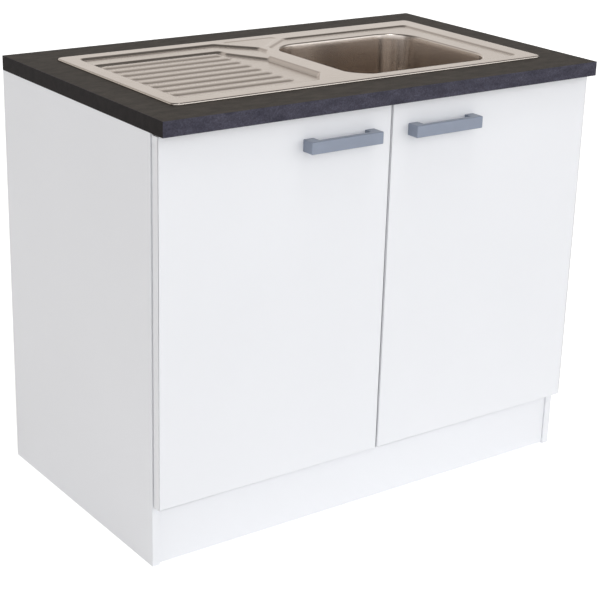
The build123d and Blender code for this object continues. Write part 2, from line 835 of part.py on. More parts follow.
def waste_gasket():
    """Rubber ring between the bowl and the waste body."""
    outer = waste_hole_radius + gasket_width
    ring = turned([(waste_hole_radius, -gasket_thickness), (outer, -gasket_thickness),
                   (outer, 0), (waste_hole_radius, 0)])
    return at_waste(ring, bowl_floor - sheet)


def waste_body_top():
    """Height of the waste body's upper face."""
    return bowl_floor - sheet - gasket_thickness


def spout_end():
    """Height of the lower end of the waste body's spout."""
    return waste_body_top() - waste_body_depth - spout_length


def overflow_port_height():
    """Height of the overflow's inlet on the waste body."""
    return waste_body_top() - waste_body_depth / 2 - waste_body_wall


def waste_body():
    """Plastic cup under the bowl, with a spout below and a side inlet."""
    rim = waste_hole_radius + gasket_width
    wall = waste_body_wall
    cup = waste_hole_radius + wall
    bottom = -waste_body_depth
    end = bottom - spout_length
    solid = turned([(0, end), (spout_radius, end), (spout_radius, bottom), (cup - wall, bottom),
                    (cup, bottom + wall), (cup, -2 * wall), (rim, -wall), (rim, 0), (0, 0)])
    hollow = turned([(0, end), (spout_radius - wall, end), (spout_radius - wall, bottom + wall),
                     (cup - wall, bottom + wall), (cup - wall, 0), (0, 0)])
    solid, hollow = at_waste(solid, waste_body_top()), at_waste(hollow, waste_body_top())
    start = (bowl_x - port_reach(), bowl_y, overflow_port_height())
    port = overflow_pipe_radius + wall
    solid += rod(start, (1, 0, 0), port_reach() - cup / 2, port)
    hollow += rod(start, (1, 0, 0), port_reach() - cup / 2, overflow_pipe_radius + screw_play)
    centre = (bowl_x, bowl_y, waste_body_top() + bottom)
    nut = rod(centre, (0, 0, 1), wall * 3, waste_bolt_radius + wall)
    web = block((bowl_x - spout_radius, bowl_x + spout_radius),
                (bowl_y - wall / 2, bowl_y + wall / 2), (centre[2], centre[2] + wall))
    made = (solid - hollow) + nut + web
    return made - rod(centre, (0, 0, 1), wall * 3, waste_bolt_radius + screw_play)


def port_reach():
    """Waste axis to the mouth of the overflow's inlet."""
    return waste_hole_radius + waste_body_wall + spout_length / 2


def waste_bolt():
    """Bolt that draws the dish and the waste body together."""
    seat = bowl_floor - dish_depth + dish_sheet
    length = seat - (waste_body_top() - waste_body_depth)
    return screw((bowl_x, bowl_y, seat), (0, 0, -1), length, waste_bolt_radius)


def basket():
    """Removable strainer basket with its post and knob."""
    low = basket_clearance
    high = low + basket_height
    skin = basket_sheet
    bottom = turned([(0, low), (basket_foot_radius, low), (basket_radius, high),
                     (basket_radius - skin, high), (basket_foot_radius - skin, low + skin),
                     (0, low + skin)])
    for x, y in around(basket_outer_ring, basket_slot_count):
        bottom -= rod((x, y, low), (0, 0, 1), skin, basket_slot_radius)
    for x, y in around(basket_inner_ring, basket_slot_count // 2):
        bottom -= rod((x, y, low), (0, 0, 1), skin, basket_slot_radius)
    return at_waste(bottom, bowl_floor - dish_depth + dish_sheet)


def basket_knob():
    """Post and knob by which the basket is lifted."""
    low = basket_clearance + basket_sheet
    high = basket_clearance + basket_height
    waist = high - knob_neck
    knob = turned([(0, low), (post_radius, low), (post_radius, waist),
                   (knob_radius - knob_bevel, high - knob_dome), (knob_radius, high),
                   (knob_radius - 1.5 * knob_bevel, high + knob_dome - knob_bevel / 2),
                   (0, high + knob_dome)])
    return at_waste(knob, bowl_floor - dish_depth + dish_sheet)


# ---- Trap ----------------------------------------------------------------------------
def lobed_nut(start, direction, height, bore, radius):
    """Hand nut with grip lobes round its rim."""
    outline = Circle(radius)
    for x, y in around(radius, nut_lobes):
        outline -= Pos(x, y) * Circle(nut_groove)
    return extrude(Plane(origin=start, z_dir=direction) * (outline - Circle(bore)), height)


def bottle_top():
    """Height of the trap bottle's upper face."""
    return spout_end() - nut_height / 2 - inlet_pipe_length


def trap_inlet_pipe():
    """Pipe from the waste's spout down into the bottle."""
    start = (bowl_x, bowl_y, spout_end() + nut_height / 2)
    length = start[2] - bottle_top() + bottle_height - inlet_dip_gap
    return pipe(start, (0, 0, -1), length, pipe_radius, pipe_wall)


def outlet_height():
    """Height of the outlet pipe's centre line."""
    return bottle_top() - outlet_drop - outlet_radius


def outlet_socket_length():
    """Bottle's axis to the mouth of its outlet socket."""
    return bottle_radius + nut_height


def trap_bottle():
    """Bottle of the trap, open below, with its outlet socket at the back."""
    top = bottle_top()
    centre = (bowl_x, bowl_y, top)
    body = rod(centre, (0, 0, -1), bottle_height, bottle_radius)
    neck = rod(centre, (0, 0, 1), nut_height / 2, spout_radius)
    side_start = (bowl_x, bowl_y, outlet_height())
    wall = bottle_wall
    socket = outlet_radius + screw_play
    body += neck + rod(side_start, (0, 1, 0), outlet_socket_length(), socket + wall)
    under = (bowl_x, bowl_y, top - bottle_height)
    body -= rod(under, (0, 0, 1), bottle_height - wall, bottle_radius - wall)
    body -= rod(side_start, (0, 1, 0), outlet_socket_length(), socket)
    return body - rod(under, (0, 0, 1), bottle_height + nut_height, pipe_radius + screw_play)


def trap_cup():
    """Screw-off cup at the bottom of the bottle."""
    low = bottle_top() - bottle_height - bottle_wall
    centre = (bowl_x, bowl_y, low)
    cup = rod(centre, (0, 0, 1), bottle_cup_height, bottle_cup_radius)
    hollow = rod((bowl_x, bowl_y, low + bottle_wall), (0, 0, 1), bottle_cup_height,
                 bottle_radius + screw_play)
    cup = fillet(cup.edges().group_by(Axis.Z)[0], bottle_wall)
    for x, y in around(bottle_cup_radius, nut_lobes * 2):
        cup -= rod((bowl_x + x, bowl_y + y, low), (0, 0, 1), bottle_cup_height, bottle_wall / 2)
    return cup - hollow


def trap_outlet_pipe():
    """Pipe from the bottle towards the wall, with a stop bead before its free end."""
    start = (bowl_x, bowl_y + bottle_radius, outlet_height())
    end = top_back - outlet_back_gap
    bead = (bowl_x, end - outlet_spigot - bead_width, outlet_height())
    tube = pipe(start, (0, 1, 0), end - start[1], outlet_radius, pipe_wall)
    return tube + pipe(bead, (0, 1, 0), bead_width, outlet_radius + bead_height, pipe_wall)


def trap_nuts():
    """Hand nuts at the spout, at the bottle's neck and at its outlet."""
    spout_nut = spout_radius + nut_wall
    socket = outlet_radius + bottle_wall + 2 * screw_play
    neck_top = bottle_top() + nut_height / 2
    mouth = bowl_y + outlet_socket_length()
    lid_bore = pipe_radius + screw_play
    places = [
        ((bowl_x, bowl_y, spout_end()), (0, 0, 1), nut_height, spout_radius, lid_bore, spout_nut),
        ((bowl_x, bowl_y, neck_top), (0, 0, -1), nut_height / 2, spout_radius, lid_bore, spout_nut),
        ((bowl_x, mouth, outlet_height()), (0, -1, 0), nut_height / 2, socket,
         outlet_radius + screw_play, socket + nut_wall)]
    nuts = []
    for start, direction, height, bore, lid, radius in places:
        back = tuple(-part for part in direction)
        ring = lobed_nut(start, direction, height, bore + screw_play, radius)
        nuts.append(ring + lobed_nut(start, back, bottle_wall, lid, radius))
    return nuts


# ---- Overflow ------------------------------------------------------------------------
def overflow_rose():
    """Slotted plate over the overflow hole, inside the bowl."""
    rose = overflow_bar(rose_thickness, rose_radius)
    rose = fillet(rose.edges().sort_by(Axis.X)[-1], rose_thickness / 2)
    plane = overflow_frame()
    for x, y in around(rose_hole_ring, rose_hole_count):
        rose -= extrude(plane * Pos(x, y) * Circle(rose_screw_radius), rose_thickness)
    return rose - overflow_bar(rose_thickness, rose_screw_radius)


def overflow_elbow():
    """Plastic elbow behind the bowl's wall, with a spigot down to the pipe."""
    body = overflow_bar(-elbow_depth, elbow_radius, -sheet)
    body += rod(elbow_exit(elbow_radius), (0, 0, 1), elbow_radius,
                overflow_pipe_radius + overflow_pipe_wall * 2)
    body -= overflow_bar(-(elbow_depth - 2 * overflow_pipe_wall), overflow_hole_radius, -sheet)
    return body - rod(elbow_exit(elbow_radius), (0, 0, 1), elbow_radius,
                      overflow_pipe_radius + screw_play)


def elbow_exit(extra):
    """Point under the elbow, on the pipe's centre line."""
    plane = overflow_frame()
    middle = plane.origin - plane.z_dir * (sheet + elbow_depth / 2)
    return (middle.X, middle.Y, middle.Z - elbow_radius - extra * 0.6)


def overflow_pipe():
    """Rigid pipe from the elbow down and across to the waste body."""
    top = elbow_exit(elbow_radius)
    start = (top[0], top[1], top[2] + elbow_radius * 0.6)
    corner = (top[0], top[1], overflow_port_height())
    end = (bowl_x - port_reach() + spout_length / 4, bowl_y, overflow_port_height())
    path = FilletPolyline(start, corner, end, radius=overflow_bend)
    section = Plane(origin=start, z_dir=(0, 0, -1))
    outer = sweep(section * Circle(overflow_pipe_radius), path=path)
    return outer - sweep(section * Circle(overflow_pipe_radius - overflow_pipe_wall), path=path)


def overflow_screw():
    """Screw that clamps the rose and the elbow on the bowl's wall."""
    shank = overflow_bar(-(elbow_depth - 2 * overflow_pipe_wall + sheet + rose_thickness),
                         rose_screw_radius - screw_play, rose_thickness)
    head = overflow_bar(rose_thickness, screw_head_radius, rose_thickness)
    return head + shank


# ---- Write the parts -----------------------------------------------------------------
def write_cabinet():
    """Boards, worktop and their fittings."""
    for name, side in sides.items():
        save(f"side_panel_{name}", side_panel(side))
    front = carcass_front + plinth_recess
    save("bottom_panel", cross_board("bottom_panel", (carcass_front, top_back),
                                     (plinth_height, bottom_top)))
    save("plinth_board", cross_board("plinth_board", (front, front + board),
                                     (plinth_floor_gap, plinth_height)))
    save("front_rail", cross_board("front_rail", (carcass_front, carcass_front + board),
                                   (top_under - front_rail_height, top_under)))
    save("back_rail", back_rail())
    save("lower_back_rail", cross_board("lower_back_rail", (top_back - board, top_back),
                                        (bottom_top, bottom_top + lower_rail_height)))
    fittings = all_fittings()
    save("dowels", *[solids[0] for _, _, kind, solids in fittings if kind == "dowel"])
    save("cam_bolts", *[solids[0] for _, _, kind, solids in fittings if kind == "cam"])
    save("cam_locks", *[solids[1] for _, _, kind, solids in fittings if kind == "cam"])
    save("worktop", worktop())
    save("worktop_edges", *worktop_edges())
    save("angle_brackets", *[angle_bracket(side, y) for side in sides.values()
                             for y in bracket_places()])
    save("bracket_screws", *bracket_screws())


def write_doors():
    """Doors with their handles, bumpers and hinges."""
    for name, side in sides.items():
        save(f"door_{name}", door_panel(side))
        save(f"door_edges_{name}", *door_edges(side))
        save(f"handle_{name}", handle(side))
        save(f"handle_screws_{name}", *handle_screws(side))
        save(f"hinge_cups_{name}", *[hinge_cup(side, z) for z in hinge_heights()])
        save(f"cup_screws_{name}", *cup_screws(side))
        save(f"door_bumpers_{name}", *door_bumpers(side))
    pairs = [(side, z) for side in sides.values() for z in hinge_heights()]
    save("hinge_plates", *[hinge_plate(side, z) for side, z in pairs])
    save("hinge_arms", *[hinge_arm(side, z) for side, z in pairs])
    save("plate_screws", *plate_screws())


def write_sink():
    """Sink with its seal and clips."""
    save("sink_top", sink_top())
    save("sink_bowl", sink_bowl())
    save("sink_seal", sink_seal())
    save("sink_clips", *[clip_at(*place) for place in clip_places()])
    save("clip_screws", *[clip_screw_at(*place) for place in clip_places()])


def write_drain():
    """Waste, basket, trap and overflow."""
    save("waste_flange", waste_flange())
    save("waste_gasket", waste_gasket())
    save("waste_body", waste_body())
    save("waste_bolt", waste_bolt())
    save("strainer_basket", basket())
    save("basket_knob", basket_knob())
    save("trap_inlet_pipe", trap_inlet_pipe())
    save("trap_bottle", trap_bottle())
    save("trap_cup", trap_cup())
    save("trap_outlet_pipe", trap_outlet_pipe())
    save("trap_nuts", *trap_nuts())
    save("overflow_rose", overflow_rose())
    save("overflow_elbow", overflow_elbow())
    save("overflow_pipe", overflow_pipe())
    save("overflow_screw", overflow_screw())


os.makedirs("parts", exist_ok=True)
write_cabinet()
write_doors()
write_sink()
write_drain()
for label, hand in sides.items():
    print(f"{label} door turns about x, y =", [round(value, 3) for value in pivot(hand)])
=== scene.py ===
"""Kitchen sink unit: pressed steel sink, dark worktop and white two-door cabinet.

Metres, +Z up, doors facing -Y. Each button in the sidebar dresses one group of pieces.
"""
import json
from math import cos, pi, radians, sin, tan

import bmesh
import bpy
import numpy as np
from bpy.props import FloatProperty, FloatVectorProperty, PointerProperty
from bpy.types import Operator, Panel, PropertyGroup
from mathutils import Matrix, Vector

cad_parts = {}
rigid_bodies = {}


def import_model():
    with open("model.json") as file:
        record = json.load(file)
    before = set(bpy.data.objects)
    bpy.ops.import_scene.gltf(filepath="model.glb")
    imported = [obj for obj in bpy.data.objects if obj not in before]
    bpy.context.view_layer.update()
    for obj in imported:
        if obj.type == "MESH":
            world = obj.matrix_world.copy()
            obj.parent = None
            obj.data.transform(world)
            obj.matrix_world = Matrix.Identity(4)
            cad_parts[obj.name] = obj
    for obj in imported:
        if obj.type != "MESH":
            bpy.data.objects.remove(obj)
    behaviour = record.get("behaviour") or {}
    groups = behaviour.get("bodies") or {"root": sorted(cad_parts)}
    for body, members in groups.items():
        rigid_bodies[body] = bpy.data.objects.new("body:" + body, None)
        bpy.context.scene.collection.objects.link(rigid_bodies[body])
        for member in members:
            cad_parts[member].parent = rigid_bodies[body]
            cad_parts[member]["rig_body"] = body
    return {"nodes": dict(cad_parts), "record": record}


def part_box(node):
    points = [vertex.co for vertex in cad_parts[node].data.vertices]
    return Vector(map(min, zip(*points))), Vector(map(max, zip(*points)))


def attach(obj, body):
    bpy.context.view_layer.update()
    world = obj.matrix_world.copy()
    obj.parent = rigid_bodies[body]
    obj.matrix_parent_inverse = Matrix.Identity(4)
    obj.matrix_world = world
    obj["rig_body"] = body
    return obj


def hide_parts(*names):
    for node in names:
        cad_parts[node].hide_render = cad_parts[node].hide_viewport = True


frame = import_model()

bl_info = {
    "name": "Kitchen Sink Unit",
    "version": (1, 0, 0),
    "blender": (4, 5, 0),
    "location": "View3D > Sidebar > Sink Unit",
    "description": "Dresses a sink base cabinet with its sink, worktop, doors and plumbing",
    "category": "Object",
}

MM = 0.001
CUT_EDGE = 5.0 * MM           # shortest edge that is broken
CUT_ANGLE = radians(50.0)     # least turn of a surface at an edge that is broken
FLAT_ANGLE = radians(0.5)     # faces that turn less than this become one
SHARP_ANGLE = radians(28.0)   # turn from which shading breaks at an edge
WELD = 0.002 * MM             # vertices closer than this become one
FINISH_TAIL = "_finish"
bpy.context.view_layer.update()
sink_low, sink_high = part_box("sink_top")
bowl_low, bowl_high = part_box("sink_bowl")
waste_low, waste_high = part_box("waste_flange")
unit_low, unit_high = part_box("worktop_edges")


# ---- Sizes and colours that can be changed -------------------------------------------
class SinkUnitCamera(PropertyGroup):
    """Where the picture is taken from."""
    place: FloatVectorProperty(
        name="Place", description="Where the camera stands", size=3,
        default=(-1.7993, -2.4756, 1.48465), unit="LENGTH", subtype="TRANSLATION")
    turn: FloatProperty(
        name="Turn", description="Turn to the right of straight at the doors",
        default=0.6295, unit="ROTATION", subtype="ANGLE")
    tilt: FloatProperty(
        name="Tilt", description="Tilt down from level",
        default=0.3557, unit="ROTATION", subtype="ANGLE")
    roll: FloatProperty(
        name="Roll", description="Roll about the line of sight",
        default=0.0287, unit="ROTATION", subtype="ANGLE")
    lens: FloatProperty(
        name="Lens", description="Focal length in millimetres on a 36 mm frame",
        default=94.97, min=10.0)


class SinkUnitStage(PropertyGroup):
    """Floor, sky and lamps."""
    floor_reach: FloatProperty(
        name="Floor reach", description="From the middle of the floor to its edge",
        default=30.0, min=2.0, unit="LENGTH", subtype="DISTANCE")
    floor_colour: FloatVectorProperty(
        name="Floor", description="Colour of the floor", size=3, subtype="COLOR",
        default=(0.95, 0.95, 0.95), min=0.0, max=1.0)
    floor_white: FloatProperty(
        name="Floor white", description="Share of plain white in what the eye sees of the floor",
        default=0.75, min=0.0, max=1.0, subtype="FACTOR")
    horizon: FloatProperty(
        name="Horizon", description="Brightness of the room at eye level", default=1.45, min=0.0)
    zenith: FloatProperty(
        name="Zenith", description="Brightness of the room overhead", default=0.60, min=0.0)
    front_wall: FloatVectorProperty(
        name="Front wall", description="Light from in front of the doors", size=3,
        subtype="COLOR", default=(0.985, 0.992, 1.0), min=0.0, max=1.0)
    dim_wall: FloatVectorProperty(
        name="Side walls", description="Light from the sides", size=3,
        subtype="COLOR", default=(0.20, 0.19, 0.18), min=0.0, max=1.0)
    back_wall: FloatVectorProperty(
        name="Back wall", description="Light from behind", size=3,
        subtype="COLOR", default=(0.62, 0.595, 0.57), min=0.0, max=1.0)
    key: FloatProperty(
        name="Key lamp", description="Strength of the large lamp at the front right",
        default=11.0, min=0.0)
    fill: FloatProperty(
        name="Fill lamp", description="Strength of the large lamp at the left",
        default=19.0, min=0.0)
    top: FloatProperty(
        name="Top lamp", description="Strength of the small lamp over the front of the sink",
        default=9.0, min=0.0)
    top_size: FloatProperty(
        name="Top size", description="Side of the lamp over the sink",
        default=0.6, min=0.1, unit="LENGTH", subtype="DISTANCE")
    fill_size: FloatProperty(
        name="Fill size", description="Side of the lamp at the left",
        default=1.4, min=0.1, unit="LENGTH", subtype="DISTANCE")
    key_size: FloatProperty(
        name="Key size", description="Side of the large lamp",
        default=2.4, min=0.1, unit="LENGTH", subtype="DISTANCE")


class SinkUnitSink(PropertyGroup):
    """Pressed sink: levels below the crest of the rim, and the forms of its edges."""
    sheet: FloatProperty(
        name="Sheet", description="Thickness of the steel", default=0.8 * MM,
        min=0.2 * MM, unit="LENGTH", subtype="DISTANCE")
    rim_round: FloatProperty(
        name="Rim round", description="Radius of the rim's outer edge", default=4.0 * MM,
        min=0.5 * MM, unit="LENGTH", subtype="DISTANCE")
    corner: FloatProperty(
        name="Corner", description="Radius of the sink's corners in plan", default=15.0 * MM,
        min=1.0 * MM, unit="LENGTH", subtype="DISTANCE")
    shelf_drop: FloatProperty(
        name="Shelf drop", description="Drainer's shelf below the crest", default=4.0 * MM,
        unit="LENGTH", subtype="DISTANCE")
    tray_drop: FloatProperty(
        name="Tray drop", description="Ribbed tray below the crest", default=8.0 * MM,
        unit="LENGTH", subtype="DISTANCE")
    deck_drop: FloatProperty(
        name="Deck drop", description="Tap deck below the crest", default=1.2 * MM,
        unit="LENGTH", subtype="DISTANCE")
    surround_drop: FloatProperty(
        name="Surround drop", description="Flat round the bowl below the crest",
        default=3.0 * MM, unit="LENGTH", subtype="DISTANCE")
    rib_pitch: FloatProperty(
        name="Rib pitch", description="From one drainer rib to the next", default=35.2 * MM,
        min=5.0 * MM, unit="LENGTH", subtype="DISTANCE")
    rib_width: FloatProperty(
        name="Rib width", description="Width of a drainer rib", default=28.0 * MM,
        min=2.0 * MM, unit="LENGTH", subtype="DISTANCE")
    rib_height: FloatProperty(
        name="Rib height", description="Height of a drainer rib", default=3.0 * MM,
        min=0.1 * MM, unit="LENGTH", subtype="DISTANCE")
    mouth_roll: FloatProperty(
        name="Mouth roll", description="Radius where the flat turns into the bowl",
        default=4.0 * MM, min=0.5 * MM, unit="LENGTH", subtype="DISTANCE")
    bowl_corner: FloatProperty(
        name="Bowl corner", description="Radius of the bowl's corners in plan",
        default=68.0 * MM, min=5.0 * MM, unit="LENGTH", subtype="DISTANCE")
    bowl_draft: FloatProperty(
        name="Bowl draft", description="Lean of the bowl's walls", default=radians(4.0),
        unit="ROTATION", subtype="ANGLE")
    bottom_round: FloatProperty(
        name="Bottom round", description="Radius where the bowl's walls meet its floor",
        default=28.0 * MM, min=2.0 * MM, unit="LENGTH", subtype="DISTANCE")


class SinkUnitFinish(PropertyGroup):
    """Colours of the finishes."""
    board: FloatVectorProperty(
        name="Boards", description="White melamine of boards and doors", size=3,
        subtype="COLOR", default=(0.86, 0.868, 0.895), min=0.0, max=1.0)
    worktop: FloatVectorProperty(
        name="Worktop", description="Dark laminate of the worktop", size=3,
        subtype="COLOR", default=(0.060, 0.052, 0.045), min=0.0, max=1.0)
    # The edge band is one finish given two colours. Its edges are lighter and tinted blue as a
    # painted reflection of the front light, and its two ends are darker as painted shade.
    worktop_edge: FloatVectorProperty(
        name="Worktop edge", description="Dark band on the worktop's edges", size=3,
        subtype="COLOR", default=(0.060, 0.058, 0.080), min=0.0, max=1.0)
    worktop_end_shade: FloatVectorProperty(
        name="Worktop ends", description="Darker band on the worktop's two ends", size=3,
        subtype="COLOR", default=(0.017, 0.0145, 0.0145), min=0.0, max=1.0)
    steel: FloatVectorProperty(
        name="Sink steel", description="Stainless steel of the sink", size=3,
        subtype="COLOR", default=(0.575, 0.52, 0.475), min=0.0, max=1.0)
    handle: FloatVectorProperty(
        name="Handles", description="Blue-grey of the handles", size=3,
        subtype="COLOR", default=(0.232, 0.264, 0.334), min=0.0, max=1.0)
    edge_softness: FloatProperty(
        name="Edge softness", description="Width of the small bevel on cut edges",
        default=0.4 * MM, min=0.0, unit="LENGTH", subtype="DISTANCE")


# ---- Materials -----------------------------------------------------------------------
def new_material(name):
    """Material with a principled surface; returns it, its tree and the surface node."""
    material = bpy.data.materials.new(name + FINISH_TAIL)
    material.use_nodes = True
    tree = material.node_tree
    return material, tree, tree.nodes["Principled BSDF"]


def add_node(tree, kind, inputs=(), **settings):
    """New shader node with its settings and plain input values."""
    node = tree.nodes.new(kind)
    for key, value in settings.items():
        setattr(node, key, value)
    for key, value in dict(inputs).items():
        node.inputs[key].default_value = value
    return node


def stretched_noise(tree, stretch, detail, roughness=0.5):
    """Noise in the object's own metres, stretched along its axes."""
    place = add_node(tree, "ShaderNodeTexCoord")
    scale = add_node(tree, "ShaderNodeMapping", {"Scale": stretch})
    noise = add_node(tree, "ShaderNodeTexNoise",
                     {"Scale": 1.0, "Detail": detail, "Roughness": roughness})
    tree.links.new(place.outputs["Object"], scale.inputs["Vector"])
    tree.links.new(scale.outputs["Vector"], noise.inputs["Vector"])
    return noise.outputs["Fac"]


def spread(tree, value, low, high, start=0.3, end=0.7):
    """Value of a noise spread over a range of numbers."""
    node = add_node(tree, "ShaderNodeMapRange",
                    {"From Min": start, "From Max": end, "To Min": low, "To Max": high})
    tree.links.new(value, node.inputs["Value"])
    return node.outputs["Result"]


def shades(tree, value, stops):
    """Colour ramp over a value; stops are (place, colour)."""
    ramp = add_node(tree, "ShaderNodeValToRGB")
    ends = ramp.color_ramp.elements
    while len(ends) < len(stops):
        ends.new(0.5)
    for element, (place, colour) in zip(ends, stops):
        element.position = place
        element.color = (*colour, 1.0)
    tree.links.new(value, ramp.inputs["Fac"])
    return ramp.outputs["Color"]


def tone(colour, factor):
    """Colour made lighter or darker."""
    return tuple(min(1.0, part * factor) for part in colour)


def add_bump(tree, surface, value, strength, distance):
    """Fine relief on a surface."""
    bump = add_node(tree, "ShaderNodeBump", {"Strength": strength, "Distance": distance})
    tree.links.new(value, bump.inputs["Height"])
    if surface.inputs["Normal"].is_linked:
        tree.links.new(surface.inputs["Normal"].links[0].from_socket, bump.inputs["Normal"])
    tree.links.new(bump.outputs["Normal"], surface.inputs["Normal"])


def melamine(name, colour, gloss):
    """Pearl-textured white board."""
    material, tree, surface = new_material(name)
    cloud = stretched_noise(tree, (3.0, 3.0, 3.0), detail=3.0)
    stops = ((0.3, tone(colour, 0.985)), (0.7, tone(colour, 1.0)))
    tree.links.new(shades(tree, cloud, stops), surface.inputs["Base Color"])
    pearl = stretched_noise(tree, (900.0, 900.0, 900.0), detail=2.0)
    tree.links.new(spread(tree, pearl, gloss - 0.05, gloss + 0.07), surface.inputs["Roughness"])
    add_bump(tree, surface, pearl, strength=0.12, distance=0.05 * MM)
    return material


def mottled_laminate(name, colour, bright):
    """Dark laminate with fine stone-like speckle and soft clouds."""
    material, tree, surface = new_material(name)
    speck = stretched_noise(tree, (420.0, 420.0, 420.0), detail=5.0, roughness=0.7)
    cloud = stretched_noise(tree, (26.0, 60.0, 60.0), detail=6.0, roughness=0.68)
    speckle = shades(tree, speck, (
        (0.34, tone(colour, 0.62)), (0.47, tone(colour, 0.90)), (0.56, tone(colour, 1.10)),
        (0.70, tone(colour, bright))))
    blend = add_node(tree, "ShaderNodeMix", data_type="RGBA", blend_type="MULTIPLY")
    blend.inputs["Factor"].default_value = 1.0
    tree.links.new(speckle, blend.inputs["A"])
    soft = shades(tree, cloud, ((0.34, (0.74, 0.74, 0.75)), (0.66, (1.26, 1.25, 1.23))))
    tree.links.new(soft, blend.inputs["B"])
    tree.links.new(blend.outputs["Result"], surface.inputs["Base Color"])
    tree.links.new(spread(tree, speck, 0.50, 0.70), surface.inputs["Roughness"])
    surface.inputs["Specular IOR Level"].default_value = 0.07
    add_bump(tree, surface, speck, strength=0.25, distance=0.12 * MM)
    return material


def brushed_steel(name, colour, stretch, rough, wear_depth, relief):
    """Satin stainless steel with fine brush marks along one axis."""
    material, tree, surface = new_material(name)
    surface.inputs["Metallic"].default_value = 1.0
    marks = stretched_noise(tree, stretch, detail=5.0, roughness=0.65)
    cloud = stretched_noise(tree, (14.0, 14.0, 14.0), detail=3.0)
    stops = ((0.30, tone(colour, 1.0 - wear_depth)), (0.70, tone(colour, 1.0 + wear_depth)))
    tree.links.new(shades(tree, marks, stops), surface.inputs["Base Color"])
    wear = add_node(tree, "ShaderNodeMath", operation="ADD")
    tree.links.new(spread(tree, marks, rough - wear_depth, rough + wear_depth), wear.inputs[0])
    tree.links.new(spread(tree, cloud, -0.02, 0.02), wear.inputs[1])
    tree.links.new(wear.outputs["Value"], surface.inputs["Roughness"])
    add_bump(tree, surface, marks, strength=relief, distance=0.05 * MM)
    return material


def plated_metal(name, colour, rough, grain=700.0):
    """Plated or cast metal with a slightly clouded finish."""
    material, tree, surface = new_material(name)
    surface.inputs["Metallic"].default_value = 1.0
    cloud = stretched_noise(tree, (60.0, 60.0, 60.0), detail=4.0)
    stops = ((0.3, tone(colour, 0.88)), (0.7, tone(colour, 1.05)))
    tree.links.new(shades(tree, cloud, stops), surface.inputs["Base Color"])
    fine = stretched_noise(tree, (grain, grain, grain), detail=2.0)
    tree.links.new(spread(tree, fine, rough - 0.06, rough + 0.08), surface.inputs["Roughness"])
    add_bump(tree, surface, fine, strength=0.10, distance=0.04 * MM)
    return material


def moulded_plastic(name, colour, rough, metallic=0.0, grain=800.0):
    """Moulded plastic with a fine spark-eroded grain."""
    material, tree, surface = new_material(name)
    surface.inputs["Metallic"].default_value = metallic
    cloud = stretched_noise(tree, (25.0, 25.0, 25.0), detail=3.0)
    stops = ((0.3, tone(colour, 0.95)), (0.7, tone(colour, 1.03)))
    tree.links.new(shades(tree, cloud, stops), surface.inputs["Base Color"])
    fine = stretched_noise(tree, (grain, grain, grain), detail=2.0)
    tree.links.new(spread(tree, fine, rough - 0.05, rough + 0.07), surface.inputs["Roughness"])
    add_bump(tree, surface, fine, strength=0.12, distance=0.05 * MM)
    return material


def beech_wood(name):
    """Pale turned beech with short flecks along the dowel."""
    material, tree, surface = new_material(name)
    grain = stretched_noise(tree, (60.0, 900.0, 900.0), detail=5.0, roughness=0.6)
    stops = ((0.35, (0.42, 0.26, 0.13)), (0.60, (0.62, 0.43, 0.25)))
    tree.links.new(shades(tree, grain, stops), surface.inputs["Base Color"])
    tree.links.new(spread(tree, grain, 0.5, 0.7), surface.inputs["Roughness"])
    add_bump(tree, surface, grain, strength=0.3, distance=0.1 * MM)
    return material


def clear_rubber(name):
    """Cloudy clear rubber of the small door bumpers."""
    material, tree, surface = new_material(name)
    surface.inputs["Transmission Weight"].default_value = 0.6
    surface.inputs["IOR"].default_value = 1.45
    cloud = stretched_noise(tree, (300.0, 300.0, 300.0), detail=2.0)
    stops = ((0.3, (0.80, 0.80, 0.78)), (0.7, (0.90, 0.90, 0.89)))
    tree.links.new(shades(tree, cloud, stops), surface.inputs["Base Color"])
    tree.links.new(spread(tree, cloud, 0.25, 0.4), surface.inputs["Roughness"])
    return material


def finishes(colours):
    """Every finish of the unit, by the name of its slot."""
    board = tuple(colours.board)
    steel = tuple(colours.steel)
    worktop = tuple(colours.worktop)
    edge = tuple(colours.worktop_edge)
    end = tuple(colours.worktop_end_shade)
    handle = tuple(colours.handle)
    return {
        "white_board": melamine("white_board", board, gloss=0.44),
        "white_edge": melamine("white_edge", tone(board, 0.99), gloss=0.36),
        "worktop_laminate": mottled_laminate("worktop_laminate", worktop, bright=1.9),
        # One edge band in two colours: the edges lighter and blue-tinted as a painted reflection of
        # the front light, the ends darker as painted shade.
        "worktop_edge": mottled_laminate("worktop_edge", edge, bright=1.5),
        "worktop_end_shade": mottled_laminate("worktop_end_shade", end, bright=1.5),
        "handle_plastic": moulded_plastic("handle_plastic", handle, rough=0.38, metallic=0.25),
        "sink_steel": brushed_steel(
            "sink_steel", steel, stretch=(9.0, 900.0, 900.0), rough=0.24, wear_depth=0.03,
            relief=0.03),
        "bowl_steel": brushed_steel(
            "bowl_steel", tone(steel, 0.99), stretch=(1800.0, 1800.0, 25.0), rough=0.21,
            wear_depth=0.012, relief=0.004),
        "bright_steel": plated_metal("bright_steel", (0.66, 0.64, 0.62), rough=0.18),
        "zinc_steel": plated_metal("zinc_steel", (0.60, 0.61, 0.62), rough=0.30),
        "cam_zinc": plated_metal("cam_zinc", (0.50, 0.51, 0.52), rough=0.42, grain=400.0),
        "beech": beech_wood("beech"),
        "foam_seal": moulded_plastic("foam_seal", (0.035, 0.035, 0.035), rough=0.85, grain=350.0),
        "grey_rubber": moulded_plastic("grey_rubber", (0.10, 0.10, 0.105), rough=0.65),
        "clear_bumper": clear_rubber("clear_bumper"),
        "white_plumbing": moulded_plastic("white_plumbing", (0.80, 0.80, 0.79), rough=0.30),
        "knob_black": moulded_plastic("knob_black", (0.02, 0.02, 0.02), rough=0.35),
    }


